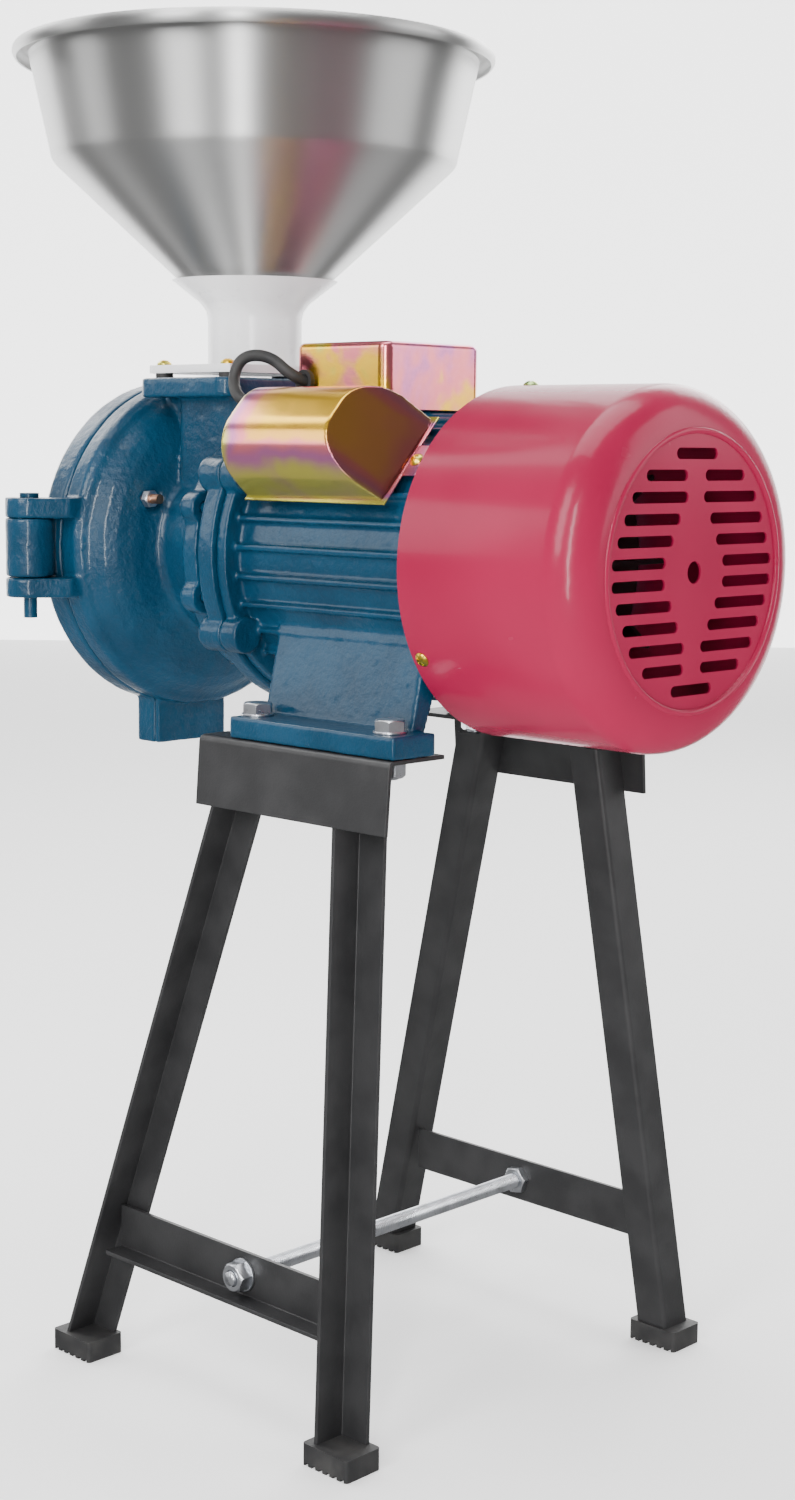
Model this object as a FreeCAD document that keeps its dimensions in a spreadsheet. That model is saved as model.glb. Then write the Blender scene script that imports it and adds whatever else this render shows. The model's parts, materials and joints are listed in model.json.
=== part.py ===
# Electric disc mill for grain, on an angle-iron stand.
# Frame: +X along the motor shaft towards the fan, +Y away from the hinge side, +Z up.
# The origin is on the floor, midway between the outermost points of the mill.
import FreeCAD, Part
import math
import os
import Sketcher
from FreeCAD import Placement, Rotation, Vector

doc = FreeCAD.newDocument("grain_mill")
sheet = doc.addObject("Spreadsheet::Sheet", "sizes")

# Driving dimensions in millimetres, in the frame above.
SIZES = {
    # motor
    "shaft_height": 502.0,
    "frame_front": -19.0,
    "frame_back": 126.0,
    "frame_bore": 72.6,
    "frame_radius": 80.0,
    "rib_radius": 84.5,
    "rib_width": 3.4,
    "ring_front": -27.0,
    "ring_radius": 92.0,
    "shield_front": -57.0,
    "shield_ring_front": -40.0,
    "lobe_circle": 92.0,
    "lobe_radius": 11.0,
    "lobe_angle": 31.0,
    "lobe_rise": 6.6,
    "rear_shield_end": 141.0,
    "core_front": -2.0,
    "core_back": 96.0,
    "rotor_radius": 44.6,
    "stator_bore": 45.0,
    # fan cover
    "cover_open_end": 130.6,
    "cover_face": 257.0,
    "cover_radius": 100.2,
    "cover_corner": 23.0,
    "bead_rise": 1.2,
    "bead_radius": 75.4,
    "panel_sink": 1.9,
    "cover_wall": 1.4,
    "vent_pitch": 11.48,
    "vent_height": 6.0,
    # foot
    "foot_front": 5.0,
    "foot_back": 138.5,
    "foot_edge": 110.0,
    "foot_inner": 76.0,
    "foot_base": 398.0,
    "foot_top": 410.5,
    "bolt_first": 13.5,
    "bolt_second": 121.5,
    "bolt_side": 95.0,
    # grinding head
    "split_plane": -160.0,
    "split_gap": 0.3,
    "rim_radius": 105.5,
    "housing_rim_back": -143.0,
    "cover_rim_front": -182.0,
    "chamber_radius": 92.0,
    "chamber_step": -144.0,
    "disc_seat": 86.0,
    "chamber_floor": -131.0,
    "neck_radius": 60.0,
    "neck_flange": -70.0,
    "neck_flange_radius": 82.0,
    "feed_bore": 28.0,
    "disc_radius": 84.0,
    "hinge_x": -169.0,
    "hinge_y": -122.0,
    "hinge_radius": 15.0,
    "hinge_pin_radius": 4.25,
    "knuckle_half": 18.2,
    "ear_outer": 31.0,
    "clamp_y": 118.0,
    "clamp_x": -150.0,
    "spout_back": -156.0,
    "spout_front": -178.0,
    "spout_half": 29.0,
    "spout_low": 371.0,
    "spout_wall": 4.0,
    # hopper and collar
    "hopper_x": -94.0,
    "pad_low": 596.0,
    "pad_top": 608.0,
    "flange_low": 611.0,
    "flange_top": 616.0,
    "flange_half_x": 38.0,
    "flange_half_y": 55.0,
    "screw_x": 30.0,
    "screw_y": 49.5,
    "tube_radius": 29.8,
    "flare_low": 645.0,
    "cone_low": 669.5,
    "cone_low_radius": 52.8,
    "kink_height": 741.4,
    "kink_radius": 126.6,
    "lip_height": 810.0,
    "lip_radius": 150.0,
    "hopper_wall": 1.0,
    # stand
    "bracket_front": -19.0,
    "bracket_back": 138.0,
    "bracket_edge": 112.0,
    "bracket_inner": 68.0,
    "bracket_top": 397.7,
    "bracket_low": 356.5,
    "sheet_wall": 2.5,
    "bend_radius": 4.0,
    "leg_flange": 22.0,
    "leg_wall": 2.6,
    "leg_top": 394.0,
    "leg_foot": 3.0,
    "leg_notch": 384.4,
    "leg_top_y": 87.0,
    "leg_foot_y": 125.5,
    "rail_low": 68.0,
    "rail_high": 97.0,
    "rail_depth": 15.0,
    "rod_x": 34.0,
    "rod_stickout": 13.7,
    "rod_height": 83.0,
    "rod_radius": 5.0,
    "shoe_x": 36.0,
    "shoe_y": 27.0,
    "shoe_height": 13.0,
    # covers on the motor
    "capsule_front": -7.0,
    "capsule_back": 105.0,
    "capsule_base": 85.2,
    "capsule_top": 128.5,
    "capsule_half": 31.0,
    "capsule_corner": 25.0,
    "capsule_tilt": 42.0,
    "tin_wall": 1.2,
    "tab_screw": 110.0,
    "box_front": -14.0,
    "box_back": 63.0,
    "box_half": 41.0,
    "box_low": 588.0,
    "box_top": 627.5,
    "cable_radius": 3.5,
}
for row, (alias, number) in enumerate(SIZES.items(), start=1):
    sheet.set(f"A{row}", alias)
    sheet.set(f"B{row}", str(number))
    sheet.setAlias(f"B{row}", alias)
doc.recompute()

finished = []


def val(alias):
    """A driving dimension, read from the sheet."""
    return float(sheet.get(alias))


def bound(expression):
    """The expression with each alias written as a reference to the sheet."""
    words = []
    word = ""
    for letter in str(expression) + " ":
        if letter.isalnum() or letter == "_":
            word += letter
            continue
        words.append("sizes." + word if word in SIZES else word)
        words.append(letter)
        word = ""
    return "".join(words).strip()


def number(expression):
    """The expression's present value, for a first guess before it is bound."""
    probe = doc.addObject("Part::Box", "probe")
    probe.setExpression("Placement.Base.x", bound(expression))
    probe.recompute()
    value = probe.Placement.Base.x
    doc.removeObject(probe.Name)
    return value


def origin_plane(body, role):
    return [part for part in body.Origin.OriginFeatures if part.Role == role][0]


def outline(body, plane, points, name):
    """A closed outline of straight edges, each corner held to two expressions."""
    sketch = body.newObject("Sketcher::SketchObject", name)
    sketch.AttachmentSupport = [(origin_plane(body, plane), "")]
    sketch.MapMode = "FlatFace"
    at = [(number(u), number(v)) for u, v in points]
    count = len(points)
    for i in range(count):
        start = Vector(at[i][0], at[i][1], 0)
        end = Vector(at[(i + 1) % count][0], at[(i + 1) % count][1], 0)
        sketch.addGeometry(Part.LineSegment(start, end), False)
    for i in range(count):
        sketch.addConstraint(Sketcher.Constraint("Coincident", i, 2, (i + 1) % count, 1))
    for i, (u, v) in enumerate(points):
        for kind, expression, value in (("DistanceX", u, at[i][0]), ("DistanceY", v, at[i][1])):
            index = sketch.addConstraint(Sketcher.Constraint(kind, -1, 1, i, 1, value))
            sketch.setExpression(f"Constraints[{index}]", bound(expression))
    return sketch


def place(part, x=None, y=None, z=None):
    for axis, expression in (("x", x), ("y", y), ("z", z)):
        if expression is not None:
            part.setExpression(f"Placement.Base.{axis}", bound(expression))


def turned(name, points, x=None, z="shaft_height", y=None, upright=False):
    """A body turned about the shaft line, or about a vertical line if upright."""
    body = doc.addObject("PartDesign::Body", name)
    sketch = outline(body, "XZ_Plane", points, name + "_outline")
    spin = body.newObject("PartDesign::Revolution", name + "_turned")
    spin.Profile = sketch
    spin.ReferenceAxis = (sketch, ["V_Axis" if upright else "H_Axis"])
    spin.Angle = 360
    place(body, x, y, z)
    return body


def box(name, x, y, z, long, wide, tall):
    """A block from its lowest corner."""
    block = doc.addObject("Part::Box", name)
    block.setExpression("Length", bound(long))
    block.setExpression("Width", bound(wide))
    block.setExpression("Height", bound(tall))
    place(block, x, y, z)
    return block


WAYS = {
    "x": Rotation(Vector(0, 1, 0), 90),
    "y": Rotation(Vector(1, 0, 0), -90),
    "z": Rotation(),
}


def rod(name, radius, length, way, x, y, z):
    """A cylinder from its start along +X, +Y or +Z."""
    bar = doc.addObject("Part::Cylinder", name)
    bar.setExpression("Radius", bound(radius))
    bar.setExpression("Height", bound(length))
    bar.Placement = Placement(Vector(), WAYS[way])
    place(bar, x, y, z)
    return bar


def fuse(name, *pieces):
    joined = doc.addObject("Part::MultiFuse", name)
    joined.Shapes = list(pieces)
    joined.Refine = True
    return joined


def cut(name, base, *tools):
    tool = tools[0]
    if len(tools) > 1:
        tool = fuse(name + "_tools", *tools)
    result = doc.addObject("Part::Cut", name)
    result.Base = base
    result.Tool = tool
    result.Refine = True
    return result


def shape(name, solid):
    """A sub-part whose shape is worked out in this file."""
    feature = doc.addObject("Part::Feature", name)
    feature.Shape = solid
    return feature


def group(name, pieces):
    """Separate identical solids that share one sub-part."""
    together = doc.addObject("Part::Compound", name)
    together.Links = pieces
    return together


def done(piece, label):
    piece.Label = label
    finished.append(piece)
    return piece


def polar(radius, degrees):
    """Y and Z of a point about the shaft line, 0 degrees along +Y."""
    angle = math.radians(degrees)
    return radius * math.cos(angle), radius * math.sin(angle)


def polygon_prism(points, path):
    """A straight-edged face swept along one vector."""
    wire = Part.makePolygon(points + [points[0]])
    return Part.Face(wire).extrude(path)


def rounded(corners, steps=4):
    """Outline points from (u, v, radius) corners, each round as a few chords."""
    points = []
    for i, (u, v, radius) in enumerate(corners):
        if not radius:
            points.append((u, v))
            continue
        corner = Vector(u, v, 0)
        before = (Vector(*corners[i - 1][:2], 0) - corner).normalize()
        after = (Vector(*corners[(i + 1) % len(corners)][:2], 0) - corner).normalize()
        half = before.getAngle(after) / 2
        reach = radius / math.tan(half)
        centre = corner + (before + after).normalize() * (radius / math.sin(half))
        first = corner + before * reach - centre
        last = corner + after * reach - centre
        begin = math.atan2(first.y, first.x)
        sweep = (math.atan2(last.y, last.x) - begin + math.pi) % (2 * math.pi) - math.pi
        for step in range(steps + 1):
            angle = begin + sweep * step / steps
            points.append((centre.x + radius * math.cos(angle), centre.y + radius * math.sin(angle)))
    return points


def hexagon(across, height, centre, direction, spin=0.0):
    """A hexagonal prism with its flats across the given size, rising from its centre."""
    corner = across / math.sqrt(3)
    points = []
    for i in range(6):
        angle = math.radians(60 * i + spin)
        points.append(Vector(corner * math.cos(angle), corner * math.sin(angle), 0))
    prism = polygon_prism(points, Vector(0, 0, height))
    barrel = Part.makeCylinder(corner * 1.01, height * 0.8)
    crown = Part.makeCone(corner * 1.01, across * 0.47, height * 0.2, Vector(0, 0, height * 0.8))
    prism = prism.common(barrel.fuse(crown))
    prism.Placement = Placement(centre, Rotation(Vector(0, 0, 1), direction))
    return prism


def along(radius, length, centre, direction):
    return Part.makeCylinder(radius, length, centre, direction)


def nut(across, height, bore, centre, direction, spin=0.0):
    body = hexagon(across, height, centre, direction, spin)
    return body.cut(along(bore, height + 2, centre - direction, direction))


def washer(outer, bore, height, centre, direction):
    ring = along(outer, height, centre, direction)
    return ring.cut(along(bore, height + 2, centre - direction, direction))


def pan_screw(head, head_height, shank, length, centre, direction):
    """A pan-head screw, its head standing on the centre and its shank behind it."""
    dome = Part.makeSphere(head * 1.25, centre + direction * (head_height - head * 1.25))
    disc = along(head, head_height, centre, direction)
    rounded = disc.common(dome)
    slot_depth = head_height * 0.45
    slot_at = centre + direction * (head_height - slot_depth)
    for spin in (0, 90):
        bar = Part.makeBox(head * 1.3, head * 0.26, head_height)
        bar.translate(Vector(-head * 0.65, -head * 0.13, 0))
        bar.rotate(Vector(0, 0, 0), Vector(0, 0, 1), spin + 30)
        bar.Placement = Placement(slot_at, Rotation(Vector(0, 0, 1), direction)).multiply(bar.Placement)
        rounded = rounded.cut(bar)
    return rounded.fuse(along(shank, length, centre - direction * length, direction))


def hex_bolt(across, head_height, shank, length, centre, direction, spin=0.0):
    head = hexagon(across, head_height, centre, direction, spin)
    return head.fuse(along(shank, length, centre - direction * length, direction))


# ------------------------------------------------------------------ rotor
X_AXIS = Vector(1, 0, 0)
Y_AXIS = Vector(0, 1, 0)
UP = Vector(0, 0, 1)
HEIGHT = val("shaft_height")

shaft = turned("shaft_body", [
    ("-158.5", "0"), ("-158.5", "9"), ("-157.5", "10"), ("-138", "10"), ("-138", "12.5"),
    ("-52", "12.5"), ("-52", "15"), ("-33", "15"), ("-33", "17"), ("104", "17"),
    ("104", "12.5"), ("135", "12.5"), ("135", "10"), ("177", "10"), ("178", "9"), ("178", "0"),
])
done(shaft, "shaft")

rotor_core = turned("rotor_core_body", [
    ("core_front - 8", "30"), ("core_front - 8", "41"), ("core_front", "41"),
    ("core_front", "rotor_radius"), ("core_back", "rotor_radius"), ("core_back", "41"),
    ("core_back + 8", "41"), ("core_back + 8", "30"), ("core_back", "30"), ("core_back", "17"),
    ("core_front", "17"), ("core_front", "30"),
])
done(rotor_core, "rotor_core")


def fan():
    """A radial cooling fan with ten straight blades on a back plate."""
    hub = along(20, 22, Vector(148, 0, 0), X_AXIS)
    disc = along(86, 2.5, Vector(148, 0, 0), X_AXIS)
    wheel = hub.fuse(disc)
    for i in range(10):
        blade = Part.makeBox(24, 66, 2.5, Vector(150, 18, -1.25))
        blade.rotate(Vector(0, 0, 0), X_AXIS, 36 * i)
        wheel = wheel.fuse(blade)
    wheel = wheel.cut(along(10, 40, Vector(140, 0, 0), X_AXIS)).removeSplitter()
    wheel.translate(Vector(0, 0, HEIGHT))
    return wheel


done(shape("cooling_fan_shape", fan()), "cooling_fan")


def auger():
    """A feed screw: one helical flight around the shaft, inside the feed bore."""
    pitch = 26.0
    start = -134.0
    turns = 2.0
    outer = val("feed_bore") - 1.5
    inner = 12.4
    sections = []
    steps = 24
    for i in range(int(turns * steps) + 1):
        angle = 2 * math.pi * i / steps
        x = start + pitch * i / steps
        radial = Vector(0, math.cos(angle), math.sin(angle))
        points = [
            Vector(x, 0, 0) + radial * inner,
            Vector(x, 0, 0) + radial * outer,
            Vector(x + 4, 0, 0) + radial * outer,
            Vector(x + 4, 0, 0) + radial * inner,
        ]
        sections.append(Part.makePolygon(points + [points[0]]))
    flight = Part.makeLoft(sections, True, True)
    sleeve = along(16, 58.5, Vector(start - 2, 0, 0), X_AXIS)
    screw = sleeve.fuse(flight).cut(along(12.5, 80, Vector(start - 8, 0, 0), X_AXIS))
    screw.translate(Vector(0, 0, HEIGHT))
    return screw


done(shape("feed_auger_shape", auger()), "feed_auger")


def grinding_disc(front, back, bore, face_at, grooves):
    """A grinding disc with sloping furrows in the face at face_at."""
    ring = along(val("disc_radius"), back - front, Vector(front, 0, 0), X_AXIS)
    ring = ring.cut(along(bore, back - front + 2, Vector(front - 1, 0, 0), X_AXIS))
    for i in range(grooves):
        furrow = Part.makeBox(2.4, 52, 3.0, Vector(face_at - 1.2, bore + 6, -1.5))
        furrow.rotate(Vector(0, bore + 6, 0), X_AXIS, 22)
        furrow.rotate(Vector(0, 0, 0), X_AXIS, 360 * i / grooves)
        ring = ring.cut(furrow)
    ring.translate(Vector(0, 0, HEIGHT))
    return ring


turning = grinding_disc(-149, -140, 10, -140, 20)
for i in range(4):
    paddle = Part.makeBox(10, 5, 10, Vector(-158, -2.5, 73))
    paddle.rotate(Vector(0, 0, 0), X_AXIS, 90 * i + 45)
    paddle.translate(Vector(0, 0, HEIGHT))
    turning = turning.fuse(paddle)
done(shape("turning_disc_shape", turning.removeSplitter()), "turning_disc")
done(shape("fixed_disc_shape", grinding_disc(-139, -131, 30, -139, 20)), "fixed_disc")
end_nut = nut(30, 8, 10, Vector(-157, 0, HEIGHT), X_AXIS)
done(shape("disc_end_nut_shape", end_nut), "disc_end_nut")


def race_ring(front, back, outer, inner):
    """One plain bearing ring about the shaft."""
    ring = along(outer, back - front, Vector(front, 0, HEIGHT), X_AXIS)
    return ring.cut(along(inner, back - front + 2, Vector(front - 1, 0, HEIGHT), X_AXIS))


# Front, back, outer radius, outer race, inner race and bore of each bearing.
BEARINGS = ((-50, -34, 31.0, 26.0, 19.5, 15.0), (120, 135, 26.0, 22.0, 16.5, 12.5))
outer_rings = [race_ring(front, back, outer, race) for front, back, outer, race, low, bore in BEARINGS]
inner_rings = [race_ring(front, back, low, bore) for front, back, outer, race, low, bore in BEARINGS]
balls = []
for front, back, outer, race, low, bore in BEARINGS:
    middle = (race + low) / 2
    size = (race - low) / 2 - 0.15
    for i in range(9):
        y, z = polar(middle, 40 * i)
        balls.append(Part.makeSphere(size, Vector((front + back) / 2, y, z + HEIGHT)))
done(shape("bearing_outer_rings_shape", Part.makeCompound(outer_rings)), "bearing_outer_rings")
done(shape("bearing_inner_rings_shape", Part.makeCompound(inner_rings)), "bearing_inner_rings")
done(shape("bearing_balls_shape", Part.makeCompound(balls)), "bearing_balls")

# ------------------------------------------------------------------ motor
LOBES = (val("lobe_angle"), 180 - val("lobe_angle"), 180 + val("lobe_angle"), 360 - val("lobe_angle"))
stator_core = turned("stator_core_body", [
    ("core_front", "stator_bore"), ("core_front", "frame_bore - 0.1"),
    ("core_back", "frame_bore - 0.1"), ("core_back", "stator_bore"),
])
done(stator_core, "stator_core")
windings = group("windings_group", [
    turned(f"winding_{end}", [
        (front, "49"), (front, "67"), (f"{front} + 14", "70"),
        (f"{front} + 17.8", "69"), (f"{front} + 17.8", "49"),
    ])
    for end, front in (("front", "core_front - 18"), ("back", "core_back + 0.1"))
])
done(windings, "stator_windings")


def frame_casting():
    """The ribbed barrel with its front ring, lobes, top pad and foot pedestal."""
    front = val("frame_front")
    back = val("frame_back")
    low = HEIGHT - val("foot_base")
    barrel = along(val("frame_radius"), back - front, Vector(front, 0, 0), X_AXIS)
    ring = along(val("ring_radius"), front - val("ring_front"), Vector(val("ring_front"), 0, 0), X_AXIS)
    casting = barrel.fuse(ring)
    ribs = []
    height = val("rib_radius") - val("frame_radius") + 4
    for i in range(30):
        rib = Part.makeBox(back - front, height, val("rib_width"),
                           Vector(front, val("rib_radius") - height, -val("rib_width") / 2))
        rib.rotate(Vector(0, 0, 0), X_AXIS, 12 * i - 3.5)
        ribs.append(rib)
    casting = casting.multiFuse(ribs)
    # foot pedestal: two sloping side walls, end walls and the two foot plates
    foot_front = val("foot_front")
    foot_long = val("foot_back") - foot_front
    base = -low
    plate_top = val("foot_top") - HEIGHT
    solid = polygon_prism([
        Vector(foot_front, -70, -38), Vector(foot_front, 70, -38),
        Vector(foot_front, 82, plate_top), Vector(foot_front, 82, base),
        Vector(foot_front, -82, base), Vector(foot_front, -82, plate_top),
    ], Vector(min(back, val("foot_back")) - foot_front, 0, 0))
    hollow = polygon_prism([
        Vector(foot_front - 1, -56, -50), Vector(foot_front - 1, 56, -50),
        Vector(foot_front - 1, val("foot_inner"), base - 1),
        Vector(foot_front - 1, -val("foot_inner"), base - 1),
    ], Vector(foot_long + 2, 0, 0))
    casting = casting.fuse(solid.cut(hollow))
    for side in (-1, 1):
        inner = val("foot_inner") * side
        edge = val("foot_edge") * side
        plate_block = Part.makeBox(foot_long, abs(edge - inner), plate_top - base,
                                   Vector(foot_front, min(inner, edge), base))
        casting = casting.fuse(plate_block)
    # lobes that take the end shield's bolts, and the pads for the two covers
    for degrees in LOBES:
        y, z = polar(val("lobe_circle"), degrees)
        casting = casting.fuse(along(val("lobe_radius"), 14, Vector(val("ring_front"), y, z), X_AXIS))
    top_pad = Part.makeBox(val("box_back") - val("box_front") - 4, 2 * val("box_half") - 6, 20,
                           Vector(val("box_front") + 2, 3 - val("box_half"), val("box_low") - HEIGHT - 20))
    casting = casting.fuse(top_pad)
    casting = casting.cut(along(val("frame_bore"), back - front + 60, Vector(front - 30, 0, 0), X_AXIS))
    for side in (-1, 1):
        for x in (val("bolt_first"), val("bolt_second")):
            casting = casting.cut(along(5.5, 30, Vector(x, side * val("bolt_side"), base - 8), Vector(0, 0, 1)))
    casting = casting.removeSplitter()
    casting.translate(Vector(0, 0, HEIGHT))
    return casting


done(shape("motor_frame_shape", frame_casting()), "motor_frame")

front_shield_core = turned("front_shield_core", [
    ("shield_front + 0.3", "34"), ("shield_front + 0.3", "80"), ("-50", "80"), ("-46", "84"),
    ("shield_ring_front", "95"), ("ring_front - 0.3", "95"), ("ring_front - 0.3", "72"),
    ("-33", "60"), ("-33", "31"), ("-50.2", "31"), ("-50.2", "16.5"), ("-53", "16.5"), ("-53", "34"),
])
shield_lobes = []
for i, degrees in enumerate(LOBES):
    y, z = polar(val("lobe_circle"), degrees)
    length = "ring_front - 0.3 - shield_ring_front + lobe_rise"
    shield_lobes.append(rod(f"shield_lobe_{i}", "lobe_radius", length, "x",
                            "shield_ring_front - lobe_rise", str(y), f"shaft_height + {z}"))
front_shield = fuse("front_shield_fused", front_shield_core, *shield_lobes)
done(front_shield, "front_end_shield")

rear_shield = turned("rear_shield_body", [
    ("frame_back + 0.3", "50"), ("frame_back + 0.3", "84"), ("rear_shield_end - 6", "84"),
    ("rear_shield_end", "78"), ("rear_shield_end", "20"), ("136", "20"), ("136", "13.5"),
    ("135.2", "13.5"), ("135.2", "26"), ("frame_back - 8", "26"), ("frame_back - 8", "34"),
    ("frame_back + 6", "34"), ("frame_back + 6", "50"),
])
done(rear_shield, "rear_end_shield")

shield_bolts = []
for degrees in LOBES:
    y, z = polar(val("lobe_circle"), degrees)
    centre = Vector(val("shield_ring_front") - val("lobe_rise"), y, z + HEIGHT)
    shield_bolts.append(hex_bolt(10, 4.5, 2.9, 27, centre, -X_AXIS, degrees))
done(shape("end_shield_bolts_shape", Part.makeCompound(shield_bolts)), "end_shield_bolts")
for holder_name in ("front_end_shield", "motor_frame"):
    holder = [piece for piece in finished if piece.Label == holder_name][0]
    finished.remove(holder)
    holder.Label = holder_name + "_blank"
    tools = []
    for i, degrees in enumerate(LOBES):
        y, z = polar(val("lobe_circle"), degrees)
        tools.append(rod(f"{holder_name}_hole_{i}", "3", "32", "x",
                         "shield_ring_front - 10", str(y), f"shaft_height + {z}"))
    done(cut(holder_name + "_bored", holder, *tools), holder_name)

# ------------------------------------------------------------------ fan cover


def fan_cover():
    """A drawn cup with a rounded corner, a ring bead around the end and rows of vents."""
    face = val("cover_face")
    outer = val("cover_radius")
    wall = val("cover_wall")
    corner = val("cover_corner")
    start = val("cover_open_end")
    shoulder = face - val("bead_rise")
    panel = face - val("panel_sink")
    bead = val("bead_radius")

    def cup(shrink, begin):
        radius = outer - shrink
        end = shoulder - shrink
        bend = corner - shrink
        tip = outer - corner
        lean = bend * math.sin(math.pi / 4)
        arch = Part.Arc(Vector(end, 0, tip), Vector(face - shrink, 0, bead),
                        Vector(panel - shrink, 0, 2 * bead - tip)).toShape()
        edges = [
            Part.LineSegment(Vector(begin, 0, 0), Vector(begin, 0, radius)).toShape(),
            Part.LineSegment(Vector(begin, 0, radius), Vector(end - bend, 0, radius)).toShape(),
            Part.Arc(Vector(end - bend, 0, radius), Vector(end - bend + lean, 0, tip + lean),
                     Vector(end, 0, tip)).toShape(),
            arch,
            Part.LineSegment(Vector(panel - shrink, 0, 2 * bead - tip), Vector(panel - shrink, 0, 0)).toShape(),
            Part.LineSegment(Vector(panel - shrink, 0, 0), Vector(begin, 0, 0)).toShape(),
        ]
        return Part.Face(Part.Wire(edges)).revolve(Vector(0, 0, 0), X_AXIS, 360)

    shell = cup(0, start).cut(cup(wall, start - 1))
    pitch = val("vent_pitch")
    half = val("vent_height") / 2
    rows = [(5.5, 0.0, 36.0), (4.5, 25.5, 35.5), (3.5, 30.8, 48.0), (2.5, 37.0, 48.0), (1.5, 42.5, 47.5),
            (0.5, 47.8, 45.5), (-0.5, 47.8, 45.0), (-1.5, 42.8, 47.5), (-2.5, 36.8, 47.5),
            (-3.5, 31.0, 47.5), (-4.5, 25.3, 35.5), (-5.5, 0.0, 36.0)]
    tools = [along(6, 12, Vector(face - 6, 0, 0), X_AXIS)]
    for row, middle, width in rows:
        for side in (-1, 1) if middle else (1,):
            y = side * middle
            z = row * pitch
            straight = width - 2 * half
            slot = Part.makeBox(12, straight, 2 * half, Vector(face - 6, y - straight / 2, z - half))
            for end in (-1, 1):
                slot = slot.fuse(along(half, 12, Vector(face - 6, y + end * straight / 2, z), X_AXIS))
            tools.append(slot)
    shell = shell.cut(Part.makeCompound(tools))
    for degrees in (90, 210, 330):
        y, z = polar(outer + 5, degrees)
        inward = Vector(0, -y, -z).normalize()
        shell = shell.cut(along(2.2, 12, Vector(start + 7, y, z), inward))
    shell.translate(Vector(0, 0, HEIGHT))
    return shell


done(shape("fan_cover_shape", fan_cover()), "fan_cover")
cover_screws = []
for degrees in (90, 210, 330):
    y, z = polar(val("cover_radius"), degrees)
    outward = Vector(0, y, z).normalize()
    cover_screws.append(pan_screw(4.4, 2.6, 2.1, 17, Vector(val("cover_open_end") + 7, y, z + HEIGHT), outward))
done(shape("fan_cover_screws_shape", Part.makeCompound(cover_screws)), "fan_cover_screws")
rear = [piece for piece in finished if piece.Label == "rear_end_shield"][0]
finished.remove(rear)
rear.Label = "rear_shield_blank"
posts = []
holes = []
for i, degrees in enumerate((90, 210, 330)):
    y, z = polar(70, degrees)
    spin = Rotation(Vector(0, 0, 1), Vector(0, y, z))
    for kind, size, length, rows_to in (("post", "5.5", "28.5", posts), ("hole", "2.15", "40", holes)):
        bar = doc.addObject("Part::Cylinder", f"rear_{kind}_{i}")
        bar.setExpression("Radius", size)
        bar.setExpression("Height", length)
        bar.Placement = Placement(Vector(val("cover_open_end") + 7, y, z + HEIGHT), spin)
        rows_to.append(bar)
done(cut("rear_shield_bored", fuse("rear_shield_posted", rear, *posts), *holes), "rear_end_shield")

# ------------------------------------------------------------------ grinding head
RIM = val("rim_radius")
SPLIT = val("split_plane")
PIN_X = val("hinge_x")
PIN_Y = val("hinge_y")


def hinge_arm(low, high, foot_front, foot_back, foot_y):
    """A flat lug: a round end about the hinge pin, widening to its casting."""
    radius = val("hinge_radius")
    round_end = along(radius, high - low, Vector(PIN_X, PIN_Y, low), Vector(0, 0, 1))
    arm = polygon_prism([
        Vector(PIN_X - radius * 0.5, PIN_Y + radius * 0.85, low),
        Vector(PIN_X + radius * 0.9, PIN_Y - radius * 0.42, low),
        Vector(foot_back, foot_y - 6, low), Vector(foot_back, foot_y + 8, low),
        Vector(foot_front, foot_y + 8, low), Vector(foot_front, foot_y, low),
    ], Vector(0, 0, high - low))
    return round_end.fuse(arm)


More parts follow.
